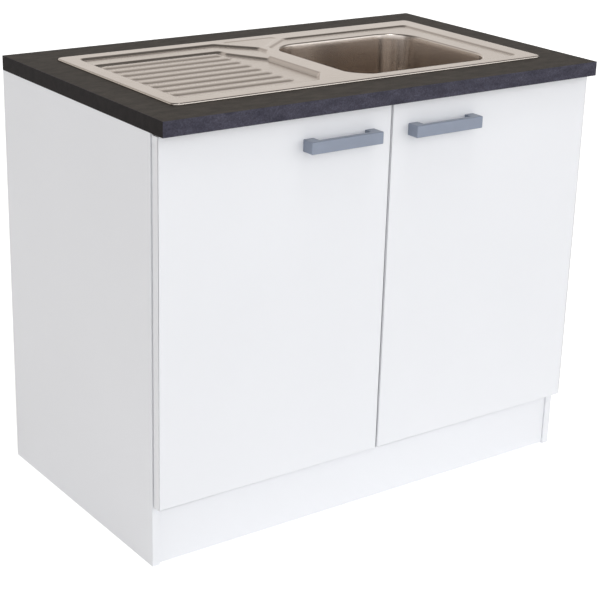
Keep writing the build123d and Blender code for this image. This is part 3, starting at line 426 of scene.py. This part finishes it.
def finish(name, colours):
    """One finish, made the first time that it is asked for; the import owns the slots' names."""
    own_name = name + FINISH_TAIL
    if own_name not in bpy.data.materials:
        finishes(colours)
    return bpy.data.materials[own_name]


def node_slots():
    """Slot of each node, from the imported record."""
    return {part["node"]: part["material_slot"] for part in frame["record"]["subparts"]}


# ---- Pieces --------------------------------------------------------------------------
def body_of(node):
    """Body that carries a node."""
    return frame["nodes"][node]["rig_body"]


def dress(nodes, colours):
    """Gives CAD pieces that keep their shape their finish."""
    slots = node_slots()
    for node in nodes:
        piece = frame["nodes"][node]
        piece.data.materials.clear()
        piece.data.materials.append(finish(slots[node], colours))


def soften(node, width, colours):
    """Piece in a node's form with its long cut edges broken, in place of the node.

    The bevel stays within the node's own reach along each axis.
    """
    slot = node_slots()[node]
    form = bmesh.new()
    form.from_mesh(frame["nodes"][node].data)
    reach = [[pick(vert.co[axis] for vert in form.verts) for axis in range(3)]
             for pick in (min, max)]
    bmesh.ops.remove_doubles(form, verts=form.verts, dist=WELD)
    bmesh.ops.dissolve_limit(form, angle_limit=FLAT_ANGLE, verts=form.verts, edges=form.edges)
    cut = [edge for edge in form.edges if len(edge.link_faces) == 2
           and edge.calc_length() > CUT_EDGE and edge.calc_face_angle(0.0) > CUT_ANGLE]
    bmesh.ops.bevel(form, geom=cut, offset=width, offset_type="OFFSET", segments=1,
                    profile=0.5, affect="EDGES", clamp_overlap=False)
    for vert in form.verts:
        vert.co = [min(max(value, least), most)
                   for value, least, most in zip(vert.co, *reach)]
    bmesh.ops.triangulate(form, faces=[face for face in form.faces if len(face.verts) > 4])
    for face in form.faces:
        face.smooth = True
    mesh = bpy.data.meshes.new(node + "_softened")
    form.to_mesh(mesh)
    form.free()
    mesh.set_sharp_from_angle(angle=SHARP_ANGLE)
    mesh.materials.append(finish(slot, colours))
    piece = bpy.data.objects.new(node + "_softened", mesh)
    bpy.context.scene.collection.objects.link(piece)
    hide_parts(node)
    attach(piece, body_of(node))
    return piece


# ---- Pressed sink --------------------------------------------------------------------
FIELD_LEFT = 35.0 * MM
FIELD_FRONT = 37.0 * MM
FIELD_BACK_MARGIN = 33.0 * MM
PRESS_ROUND = 9.0 * MM
TRAY_RIGHT = 370.0 * MM
TRAY_CORNER = 48.0 * MM
TRAY_END = 322.0 * MM
TRAY_LEDGE = 1.5 * MM
TRAY_BACK_MARGIN = 80.0 * MM
TRAY_BEND_MARGIN = 182.0 * MM
SHELF_END = 338.0 * MM
BRIDGE_NECK = 400.0 * MM
NECK_FRONT_MARGIN = 132.0 * MM
NECK_BACK_MARGIN = 102.0 * MM
DECK_LEFT = 352.0 * MM
DECK_RIGHT = 500.0 * MM
DECK_POINT = 410.0 * MM
DECK_POINT_MARGIN = 105.0 * MM
DECK_BACK_MARGIN = 27.0 * MM
SURROUND_BACK_MARGIN = 49.0 * MM
SURROUND_RIGHT_MARGIN = 43.0 * MM
MOUTH_LIP = 5.0 * MM
RIB_START = 46.0 * MM
RIB_END = 314.0 * MM
STEP_EASE = 6.0 * MM          # width of the slope between two levels
EDGE_PITCH = 1.0 * MM         # grid lines in the rounded rim
FINE_PITCH = 2.2 * MM         # grid lines where steps run across
LONG_PITCH = 7.0 * MM         # grid lines where only long straight forms run
EDGE_RUN = 6 * MM             # width of the finest grid at the rim
FINE_EDGE = 62.0 * MM
RIBS_MIDDLE = 285.0 * MM
CUT_RUN = 0.75                # length of the tray's cut corner over its depth
WASTE_SHARE = 0.83            # hole in the bowl's floor over the flange above it
ROLL_RINGS = 6                # rings where the flat rolls into the bowl
WALL_RINGS = 14               # rings down the bowl's wall
ROUND_RINGS = 10              # rings where the wall meets the floor
FLOOR_RINGS = 14              # rings over the floor to the waste
TINY = 1e-9                   # keeps a division from nought


def box_distance(x, y, centre, half, radius):
    """Signed distance to a rounded rectangle; negative inside."""
    reach_x = np.abs(x - centre[0]) - (half[0] - radius)
    reach_y = np.abs(y - centre[1]) - (half[1] - radius)
    outside = np.hypot(np.maximum(reach_x, 0.0), np.maximum(reach_y, 0.0))
    return outside + np.minimum(np.maximum(reach_x, reach_y), 0.0) - radius


def inset_corners(points, inset):
    """Corners of an outline moved inwards; the outline runs counter-clockwise."""
    moved = []
    for before, here, after in zip(points[-1:] + points[:-1], points, points[1:] + points[:1]):
        first = Vector((here[0] - before[0], here[1] - before[1])).normalized()
        second = Vector((after[0] - here[0], after[1] - here[1])).normalized()
        normals = Vector((-first.y, first.x)), Vector((-second.y, second.x))
        shift = (normals[0] + normals[1]) * inset / (1.0 + normals[0].dot(normals[1]))
        moved.append((here[0] + shift.x, here[1] + shift.y))
    return moved


def outline_distance(points, x, y, radius):
    """Signed distance to an outline with rounded corners; negative inside."""
    corners = inset_corners(points, radius)
    nearest = np.full(x.shape, np.inf)
    inside = np.zeros(x.shape, bool)
    for (ax, ay), (bx, by) in zip(corners, corners[1:] + corners[:1]):
        ex, ey = bx - ax, by - ay
        share = np.clip(((x - ax) * ex + (y - ay) * ey) / (ex * ex + ey * ey), 0.0, 1.0)
        nearest = np.minimum(nearest, np.hypot(x - ax - share * ex, y - ay - share * ey))
        if abs(ey) > 0.001 * MM:
            inside ^= ((ay > y) != (by > y)) & (x < ax + (y - ay) * ex / ey)
    return np.where(inside, -nearest, nearest) - radius


def pressed_fields(sizes, width, length, crest):
    """Outline and level of each field pressed into the sink's top."""
    front_cut = FIELD_FRONT + TRAY_CORNER
    cut_start = TRAY_RIGHT - TRAY_CORNER * CUT_RUN
    neck_front = width - NECK_FRONT_MARGIN
    neck_back = width - NECK_BACK_MARGIN
    bend = width - TRAY_BEND_MARGIN
    back = width - FIELD_BACK_MARGIN
    shelf = [(FIELD_LEFT, FIELD_FRONT), (cut_start, FIELD_FRONT), (TRAY_RIGHT, front_cut),
             (TRAY_RIGHT, bend), (BRIDGE_NECK, neck_front), (BRIDGE_NECK, neck_back),
             (SHELF_END, back), (FIELD_LEFT, back)]
    left, front = FIELD_LEFT + TRAY_LEDGE, FIELD_FRONT + TRAY_LEDGE
    right = TRAY_RIGHT - TRAY_LEDGE
    tray_back = width - TRAY_BACK_MARGIN
    tray = [(left, front), (cut_start - TRAY_LEDGE, front), (right, front_cut + TRAY_LEDGE),
            (right, bend - TRAY_LEDGE), (TRAY_END, neck_back), (TRAY_END, tray_back),
            (left, tray_back)]
    start, near = bowl_low.x - sink_low.x - MOUTH_LIP, bowl_low.y - sink_low.y - MOUTH_LIP
    end, far = length - SURROUND_RIGHT_MARGIN, width - SURROUND_BACK_MARGIN
    surround = [(start, near), (end, near), (end, far), (DECK_RIGHT, far),
                (start, neck_back - PRESS_ROUND)]
    deck_back = width - DECK_BACK_MARGIN
    deck = [(DECK_LEFT, deck_back), (DECK_POINT, width - DECK_POINT_MARGIN),
            (DECK_RIGHT, deck_back)]
    return ((shelf, crest - sizes.shelf_drop), (tray, crest - sizes.tray_drop),
            (surround, crest - sizes.surround_drop), (deck, crest - sizes.deck_drop))


def rib_rise(sizes, width, x, y):
    """Height of the drainer's ribs above its tray."""
    half = sizes.rib_width / 2
    rise = np.zeros(x.shape)
    count = int((width - TRAY_BACK_MARGIN - FIELD_FRONT) / sizes.rib_pitch)
    beyond = np.maximum(np.maximum(RIB_START + half - x, x - (RIB_END - half)), 0.0)
    for number in range(count):
        spine = FIELD_FRONT + sizes.rib_pitch * (number + 0.5)
        share = np.minimum(np.hypot(beyond, y - spine) / half, 1.0)
        rise = np.maximum(rise, sizes.rib_height * (1.0 - share ** 2))
    return rise


def lines(*stretches):
    """Places of grid lines through stretches given as (end, pitch)."""
    places = [0.0]
    for end, pitch in stretches:
        count = max(1, round((end - places[-1]) / pitch))
        places.extend(np.linspace(places[-1], end, count + 1)[1:])
    return np.array(places)


def round_corners(x, y, length, width, radius):
    """Draws the grid's square corners in to the sink's rounded corners."""
    side_x = np.where(x < length / 2, -1.0, 1.0)
    side_y = np.where(y < width / 2, -1.0, 1.0)
    centre_x = np.where(side_x < 0, radius, length - radius)
    centre_y = np.where(side_y < 0, radius, width - radius)
    out_x = np.maximum((x - centre_x) * side_x, 0.0)
    out_y = np.maximum((y - centre_y) * side_y, 0.0)
    both = (out_x > 0.0) & (out_y > 0.0)
    away = np.maximum(np.hypot(out_x, out_y), TINY)
    share = np.where(both, np.maximum(out_x, out_y) / away, 1.0)
    new_x = np.where(both, centre_x + side_x * out_x * share, x)
    new_y = np.where(both, centre_y + side_y * out_y * share, y)
    return new_x, new_y


def mouth_edge(x, y, centre, half, radius):
    """Nearest points of a rounded rectangle, and the outward directions there."""
    off_x, off_y = x - centre[0], y - centre[1]
    side_x, side_y = np.sign(off_x), np.sign(off_y)
    reach_x = np.abs(off_x) - (half[0] - radius)
    reach_y = np.abs(off_y) - (half[1] - radius)
    corner = (reach_x > 0.0) & (reach_y > 0.0)
    size = np.maximum(np.hypot(reach_x, reach_y), TINY)
    upright = ~corner & (reach_x > reach_y)
    way_x = np.where(corner, side_x * reach_x / size, np.where(upright, side_x, 0.0))
    way_y = np.where(corner, side_y * reach_y / size, np.where(upright, 0.0, side_y))
    arc_x = centre[0] + side_x * (half[0] - radius) + way_x * radius
    arc_y = centre[1] + side_y * (half[1] - radius) + way_y * radius
    edge_x = np.where(corner, arc_x, np.where(upright, centre[0] + side_x * half[0], x))
    edge_y = np.where(corner, arc_y, np.where(upright, y, centre[1] + side_y * half[1]))
    return edge_x, edge_y, way_x, way_y


def bowl_profile(sizes, surround, floor):
    """Inset from the mouth and height of each ring of the bowl, from rim to floor."""
    roll, draft, bottom = sizes.mouth_roll, sizes.bowl_draft, sizes.bottom_round
    rings = []
    for step in range(1, ROLL_RINGS + 1):
        turn = step / ROLL_RINGS * (pi / 2 - draft)
        rings.append((roll * sin(turn) - roll, surround - roll * (1 - cos(turn))))
    wall_top = rings[-1]
    foot_height = floor + bottom * (1 - sin(draft))
    foot_inset = wall_top[0] + (wall_top[1] - foot_height) * tan(draft)
    for step in range(1, WALL_RINGS + 1):
        share = step / WALL_RINGS
        rings.append((wall_top[0] + (foot_inset - wall_top[0]) * share,
                      wall_top[1] + (foot_height - wall_top[1]) * share))
    for step in range(1, ROUND_RINGS + 1):
        turn = draft + step / ROUND_RINGS * (pi / 2 - draft)
        rings.append((foot_inset + bottom * (cos(draft) - cos(turn)),
                      foot_height - bottom * (sin(turn) - sin(draft))))
    return rings


def sink_grid(sizes, length, width, crest, mouth):
    """Grid of the sink's top: places, heights and the squares outside the bowl's mouth."""
    across = lines((EDGE_RUN, EDGE_PITCH), (FINE_EDGE, FINE_PITCH), (RIBS_MIDDLE, LONG_PITCH),
                   (bowl_low.x - sink_low.x + sizes.bowl_corner, FINE_PITCH),
                   (bowl_high.x - sink_low.x - sizes.bowl_corner, LONG_PITCH),
                   (length - EDGE_RUN, FINE_PITCH), (length, EDGE_PITCH))
    along = lines((EDGE_RUN, EDGE_PITCH), (width - EDGE_RUN, FINE_PITCH), (width, EDGE_PITCH))
    x, y = np.meshgrid(across, along)
    x, y = round_corners(x, y, length, width, sizes.corner)
    height = np.full(x.shape, crest)
    for points, level in pressed_fields(sizes, width, length, crest):
        share = np.clip(0.5 - outline_distance(points, x, y, PRESS_ROUND) / STEP_EASE, 0.0, 1.0)
        height = height + (level - height) * share * share * (3.0 - 2.0 * share)
    height = height + rib_rise(sizes, width, x, y)
    depth = -box_distance(x, y, (length / 2, width / 2), (length / 2, width / 2), sizes.corner)
    inward = np.clip(depth / sizes.rim_round, 0.0, 1.0)
    fall = (crest - unit_high.z) * (1.0 - np.sqrt(1.0 - (1.0 - inward) ** 2))
    height = height - fall
    rows, columns = x.shape
    index = np.arange(rows * columns).reshape(rows, columns)
    squares = np.stack((index[:-1, :-1], index[:-1, 1:], index[1:, 1:], index[1:, :-1]),
                       axis=-1).reshape(-1, 4)
    x, y, height = x.ravel(), y.ravel(), height.ravel()
    middle_x, middle_y = x[squares].mean(axis=1), y[squares].mean(axis=1)
    outside = box_distance(middle_x, middle_y, *mouth) > 0.0
    return x, y, height, squares[outside], squares[~outside]


def sink_form(sizes):
    """Vertices, faces and bowl faces of the pressed sink, in the unit's frame."""
    length, width = sink_high.x - sink_low.x, sink_high.y - sink_low.y
    crest = sink_high.z
    surround = crest - sizes.surround_drop
    floor = bowl_low.z + sizes.sheet
    half = ((bowl_high.x - bowl_low.x) / 2 - sizes.sheet,
            (bowl_high.y - bowl_low.y) / 2 - sizes.sheet)
    centre = ((bowl_low.x + bowl_high.x) / 2 - sink_low.x,
              (bowl_low.y + bowl_high.y) / 2 - sink_low.y)
    grown = (half[0] + sizes.mouth_roll, half[1] + sizes.mouth_roll)
    mouth = (centre, grown, sizes.bowl_corner + sizes.mouth_roll)
    x, y, z, squares, removed = sink_grid(sizes, length, width, crest, mouth)
    rim = np.intersect1d(np.unique(squares), np.unique(removed))
    edge_x, edge_y, way_x, way_y = mouth_edge(x[rim], y[rim], *mouth)
    order = np.argsort(np.arctan2(edge_y - centre[1], edge_x - centre[0]))
    rim = rim[order]
    edge_x, edge_y, way_x, way_y = (part[order] for part in (edge_x, edge_y, way_x, way_y))
    x[rim], y[rim] = edge_x, edge_y
    points = [np.stack((x, y, z), axis=1)]
    rings = [rim]
    start = len(x)
    profile = bowl_profile(sizes, 0.0, floor - surround)
    for number, (inset, drop) in enumerate(profile):
        settle = max(0.0, 1.0 - (number + 1) / ROLL_RINGS)
        level = surround + (z[rim] - surround) * settle
        place = inset + sizes.mouth_roll
        points.append(np.stack(
            (edge_x - way_x * place, edge_y - way_y * place, level + drop), axis=1))
        rings.append(np.arange(start, start + len(rim)))
        start += len(rim)
    foot = points[-1]
    hole = (waste_high.x - waste_low.x) / 2 * WASTE_SHARE
    turn = np.arctan2(foot[:, 1] - centre[1], foot[:, 0] - centre[0])
    waste = np.stack((centre[0] + hole * np.cos(turn), centre[1] + hole * np.sin(turn),
                      foot[:, 2]), axis=1)
    for step in range(1, FLOOR_RINGS + 1):
        points.append(foot + (waste - foot) * step / FLOOR_RINGS)
        rings.append(np.arange(start, start + len(rim)))
        start += len(rim)
    walls = []
    for outer, inner in zip(rings[:-1], rings[1:]):
        walls.append(np.stack((outer, np.roll(outer, -1), np.roll(inner, -1), inner), axis=1))
    walls = np.concatenate(walls)
    vertices = np.concatenate(points) + np.array((sink_low.x, sink_low.y, 0.0))
    used = np.unique(np.concatenate((squares.ravel(), walls.ravel())))
    renumber = np.full(len(vertices), -1)
    renumber[used] = np.arange(len(used))
    return vertices[used], renumber[squares], renumber[walls]


def press_sink(sizes, colours):
    """Sink as one sheet of steel: rim, drainer, tap deck, surround and bowl."""
    vertices, top, bowl = sink_form(sizes)
    mesh = bpy.data.meshes.new("pressed_sink")
    mesh.from_pydata(vertices.tolist(), [], top.tolist() + bowl.tolist())
    mesh.materials.append(finish("sink_steel", colours))
    mesh.materials.append(finish("bowl_steel", colours))
    mesh.polygons.foreach_set("material_index", [0] * len(top) + [1] * len(bowl))
    mesh.shade_smooth()
    mesh.update()
    piece = bpy.data.objects.new("pressed_sink", mesh)
    bpy.context.scene.collection.objects.link(piece)
    shell = piece.modifiers.new("sheet", "SOLIDIFY")
    shell.thickness = sizes.sheet
    shell.offset = -1.0
    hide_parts("sink_top", "sink_bowl")
    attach(piece, body_of("sink_top"))
    return piece


# ---- Camera, floor and light ---------------------------------------------------------
FILM_WIDTH = 36.0
VIEW_REACH = 200.0            # metres that the camera sees
SKY_LOW = 0.30                # height in the sky where the light starts to fall
SKY_HIGH = 0.90               # height where it is at its overhead strength
WALL_PLACES = (0.0, 0.30, 0.46, 0.66, 0.86)   # from the front of the room to its back
KEY_PLACE = (2.0, -3.8, 1.0)
FILL_PLACE = (-4.0, -0.6, 0.2)
TOP_OFFSET = (0.1, -0.5, 1.9)  # top lamp from the front of the sink


def place_camera(settings):
    """Camera at the picture's place and angle."""
    ahead = Vector((sin(settings.turn) * cos(settings.tilt),
                    cos(settings.turn) * cos(settings.tilt), -sin(settings.tilt)))
    right = Vector((cos(settings.turn), -sin(settings.turn), 0.0))
    down = ahead.cross(right)
    right = right * cos(settings.roll) - down * sin(settings.roll)
    up = right.cross(ahead)
    lens = bpy.data.cameras.new("camera")
    lens.sensor_fit = "HORIZONTAL"
    lens.sensor_width = FILM_WIDTH
    lens.lens = settings.lens
    lens.clip_end = VIEW_REACH
    camera = bpy.data.objects.new("camera", lens)
    camera.matrix_world = Matrix((
        (right.x, up.x, -ahead.x, settings.place[0]), (right.y, up.y, -ahead.y, settings.place[1]),
        (right.z, up.z, -ahead.z, settings.place[2]), (0.0, 0.0, 0.0, 1.0)))
    bpy.context.scene.collection.objects.link(camera)
    bpy.context.scene.camera = camera


def seen_directly(tree):
    """One where a ray comes from the eye, a mirror or a clear piece; nought elsewhere."""
    path = add_node(tree, "ShaderNodeLightPath")
    total = path.outputs["Is Camera Ray"]
    for kind in ("Is Glossy Ray", "Is Transmission Ray"):
        larger = add_node(tree, "ShaderNodeMath", operation="MAXIMUM")
        tree.links.new(total, larger.inputs[0])
        tree.links.new(path.outputs[kind], larger.inputs[1])
        total = larger.outputs["Value"]
    return total


def floor_material(settings):
    """Pale floor that reads as white paper and keeps the unit's shadow."""
    material, tree, surface = new_material("studio_floor")
    cloud = stretched_noise(tree, (2.0, 2.0, 2.0), detail=2.0)
    colour = tuple(settings.floor_colour)
    stops = ((0.3, tone(colour, 0.99)), (0.7, colour))
    tree.links.new(shades(tree, cloud, stops), surface.inputs["Base Color"])
    surface.inputs["Roughness"].default_value = 0.9
    surface.inputs["Specular IOR Level"].default_value = 0.1
    surface.inputs["Emission Color"].default_value = (1.0, 1.0, 1.0, 1.0)
    white = add_node(tree, "ShaderNodeMath", operation="MULTIPLY")
    white.inputs[1].default_value = settings.floor_white
    tree.links.new(seen_directly(tree), white.inputs[0])
    tree.links.new(white.outputs["Value"], surface.inputs["Emission Strength"])
    return material


def studio_sky(settings):
    """Room light: a bright wall in front, dim sides, a warm wall behind and a dim ceiling."""
    world = bpy.data.worlds.new("studio_sky")
    world.use_nodes = True
    tree = world.node_tree
    glow = tree.nodes["Background"]
    place = add_node(tree, "ShaderNodeTexCoord")
    parts = add_node(tree, "ShaderNodeSeparateXYZ")
    height = add_node(tree, "ShaderNodeMapRange", {
        "From Min": SKY_LOW, "From Max": SKY_HIGH,
        "To Min": settings.horizon, "To Max": settings.zenith})
    height.interpolation_type = "SMOOTHSTEP"
    tree.links.new(place.outputs["Generated"], parts.inputs["Vector"])
    tree.links.new(parts.outputs["Z"], height.inputs["Value"])
    tree.links.new(height.outputs["Result"], glow.inputs["Strength"])
    depth = add_node(tree, "ShaderNodeMapRange", {"From Min": -1.0, "From Max": 1.0})
    tree.links.new(parts.outputs["Y"], depth.inputs["Value"])
    front, dim = tuple(settings.front_wall), tuple(settings.dim_wall)
    walls = tuple(zip(WALL_PLACES, (front, front, dim, dim, tuple(settings.back_wall))))
    tree.links.new(shades(tree, depth.outputs["Result"], walls), glow.inputs["Color"])
    bpy.context.scene.world = world


def lamp(name, place, aim, power, side):
    """Soft square lamp aimed at a point."""
    data = bpy.data.lights.new(name, "AREA")
    data.energy = power
    data.size = side
    lamp_object = bpy.data.objects.new(name, data)
    lamp_object.location = place
    lamp_object.rotation_euler = (Vector(aim) - Vector(place)).to_track_quat("-Z", "Y").to_euler()
    bpy.context.scene.collection.objects.link(lamp_object)


def build_stage(settings):
    """Floor, room light and the three lamps."""
    floor = bmesh.new()
    bmesh.ops.create_grid(floor, x_segments=8, y_segments=8, size=settings.floor_reach)
    mesh = bpy.data.meshes.new("studio_floor")
    floor.to_mesh(mesh)
    floor.free()
    mesh.materials.append(floor_material(settings))
    ground = bpy.data.objects.new("studio_floor", mesh)
    bpy.context.scene.collection.objects.link(ground)
    studio_sky(settings)
    middle = (0.0, 0.0, unit_high.z / 2)
    lamp("key_lamp", KEY_PLACE, middle, settings.key, settings.key_size)
    lamp("fill_lamp", FILL_PLACE, middle, settings.fill, settings.fill_size)
    over_sink = Vector(((sink_low.x + sink_high.x) / 2, sink_low.y, unit_high.z))
    above = over_sink + Vector(TOP_OFFSET)
    lamp("top_lamp", above, over_sink, settings.top, settings.top_size)
    bpy.context.scene.view_settings.view_transform = "Standard"


# ---- Buttons -------------------------------------------------------------------------
class SINKUNIT_OT_camera(Operator):
    """Add the camera at the picture's angle"""
    bl_idname = "sinkunit.camera"
    bl_label = "Camera"

    def execute(self, context):
        place_camera(context.scene.sink_unit_camera)
        return {"FINISHED"}


class SINKUNIT_OT_stage(Operator):
    """Add the floor, the room light and the lamps"""
    bl_idname = "sinkunit.stage"
    bl_label = "Floor and light"

    def execute(self, context):
        build_stage(context.scene.sink_unit_stage)
        return {"FINISHED"}


class SINKUNIT_OT_sink(Operator):
    """Press the sink, and finish its seal and clips"""
    bl_idname = "sinkunit.sink"
    bl_label = "Sink"

    def execute(self, context):
        colours = context.scene.sink_unit_finish
        press_sink(context.scene.sink_unit_sink, colours)
        dress(("sink_seal", "clip_screws"), colours)
        soften("sink_clips", colours.edge_softness / 2, colours)
        return {"FINISHED"}


class SINKUNIT_OT_worktop(Operator):
    """Lay the worktop and its edge bands"""
    bl_idname = "sinkunit.worktop"
    bl_label = "Worktop"

    def execute(self, context):
        colours = context.scene.sink_unit_finish
        soften("worktop", colours.edge_softness / 2, colours)
        bands = soften("worktop_edges", colours.edge_softness / 2, colours)
        # Faces turned to the sides take the darker colour: painted shade on the band's ends.
        bands.data.materials.append(finish("worktop_end_shade", colours))
        for face in bands.data.polygons:
            face.material_index = int(abs(face.normal.x) > 0.9)
        return {"FINISHED"}


class SINKUNIT_OT_cabinet(Operator):
    """Finish the boards of the cabinet"""
    bl_idname = "sinkunit.cabinet"
    bl_label = "Cabinet boards"

    def execute(self, context):
        colours = context.scene.sink_unit_finish
        for node in ("side_panel_left", "side_panel_right", "bottom_panel", "plinth_board",
                     "front_rail", "back_rail", "lower_back_rail"):
            soften(node, colours.edge_softness, colours)
        return {"FINISHED"}


class SINKUNIT_OT_doors(Operator):
    """Finish the doors, their edge bands and their bumpers"""
    bl_idname = "sinkunit.doors"
    bl_label = "Doors"

    def execute(self, context):
        colours = context.scene.sink_unit_finish
        for side in ("left", "right"):
            dress((f"door_{side}", f"door_bumpers_{side}"), colours)
            soften(f"door_edges_{side}", colours.edge_softness, colours)
        return {"FINISHED"}


class SINKUNIT_OT_handles(Operator):
    """Finish the bow handles and their screws"""
    bl_idname = "sinkunit.handles"
    bl_label = "Handles"

    def execute(self, context):
        colours = context.scene.sink_unit_finish
        for side in ("left", "right"):
            soften(f"handle_{side}", colours.edge_softness, colours)
            dress((f"handle_screws_{side}",), colours)
        return {"FINISHED"}


class SINKUNIT_OT_hinges(Operator):
    """Finish the concealed hinges"""
    bl_idname = "sinkunit.hinges"
    bl_label = "Hinges"

    def execute(self, context):
        colours = context.scene.sink_unit_finish
        for node in ("hinge_cups_left", "hinge_cups_right", "hinge_arms", "hinge_plates"):
            soften(node, colours.edge_softness / 2, colours)
        dress(("cup_screws_left", "cup_screws_right", "plate_screws"), colours)
        return {"FINISHED"}


class SINKUNIT_OT_fittings(Operator):
    """Finish the cams, bolts, dowels and brackets that hold the boards"""
    bl_idname = "sinkunit.fittings"
    bl_label = "Board fittings"

    def execute(self, context):
        colours = context.scene.sink_unit_finish
        dress(("cam_bolts", "cam_locks", "dowels", "bracket_screws"), colours)
        soften("angle_brackets", colours.edge_softness / 2, colours)
        return {"FINISHED"}


class SINKUNIT_OT_waste(Operator):
    """Finish the waste fitting and its strainer basket"""
    bl_idname = "sinkunit.waste"
    bl_label = "Waste"

    def execute(self, context):
        colours = context.scene.sink_unit_finish
        dress(("waste_gasket", "waste_bolt"), colours)
        for node in ("waste_flange", "waste_body", "strainer_basket", "basket_knob"):
            soften(node, colours.edge_softness / 2, colours)
        return {"FINISHED"}


class SINKUNIT_OT_trap(Operator):
    """Finish the bottle trap"""
    bl_idname = "sinkunit.trap"
    bl_label = "Trap"

    def execute(self, context):
        colours = context.scene.sink_unit_finish
        for node in ("trap_inlet_pipe", "trap_bottle", "trap_cup", "trap_outlet_pipe", "trap_nuts"):
            soften(node, colours.edge_softness, colours)
        return {"FINISHED"}


class SINKUNIT_OT_overflow(Operator):
    """Finish the overflow's rose, elbow and pipe"""
    bl_idname = "sinkunit.overflow"
    bl_label = "Overflow"

    def execute(self, context):
        colours = context.scene.sink_unit_finish
        dress(("overflow_screw", "overflow_pipe"), colours)
        for node in ("overflow_rose", "overflow_elbow"):
            soften(node, colours.edge_softness / 2, colours)
        return {"FINISHED"}


class SINKUNIT_PT_sidebar(Panel):
    """Buttons and settings of the sink unit"""
    bl_label = "Sink Unit"
    bl_idname = "SINKUNIT_PT_sidebar"
    bl_space_type = "VIEW_3D"
    bl_region_type = "UI"
    bl_category = "Sink Unit"

    def draw(self, context):
        column = self.layout.column()
        for button in BUTTONS:
            column.operator(button.bl_idname)
        for group in SETTINGS:
            settings = getattr(context.scene, group)
            for name in settings.bl_rna.properties.keys():
                if name not in ("rna_type", "name"):
                    column.prop(settings, name)


SETTINGS = {
    "sink_unit_camera": SinkUnitCamera,
    "sink_unit_stage": SinkUnitStage,
    "sink_unit_sink": SinkUnitSink,
    "sink_unit_finish": SinkUnitFinish,
}
BUTTONS = (
    SINKUNIT_OT_camera, SINKUNIT_OT_stage, SINKUNIT_OT_sink, SINKUNIT_OT_worktop,
    SINKUNIT_OT_cabinet, SINKUNIT_OT_doors, SINKUNIT_OT_handles, SINKUNIT_OT_hinges,
    SINKUNIT_OT_fittings, SINKUNIT_OT_waste, SINKUNIT_OT_trap, SINKUNIT_OT_overflow,
)


def register():
    """Adds the settings, the buttons and the sidebar panel."""
    for name, group in SETTINGS.items():
        bpy.utils.register_class(group)
        setattr(bpy.types.Scene, name, PointerProperty(type=group))
    for button in BUTTONS:
        bpy.utils.register_class(button)
    bpy.utils.register_class(SINKUNIT_PT_sidebar)


def unregister():
    """Takes them away again."""
    bpy.utils.unregister_class(SINKUNIT_PT_sidebar)
    for button in reversed(BUTTONS):
        bpy.utils.unregister_class(button)
    for name, group in reversed(SETTINGS.items()):
        delattr(bpy.types.Scene, name)
        bpy.utils.unregister_class(group)


def main():
    """Builds the unit and its stage, one group after another."""
    register()
    for button in BUTTONS:
        group, action = button.bl_idname.split(".")
        getattr(getattr(bpy.ops, group), action)()


if __name__ == "__main__":
    main()
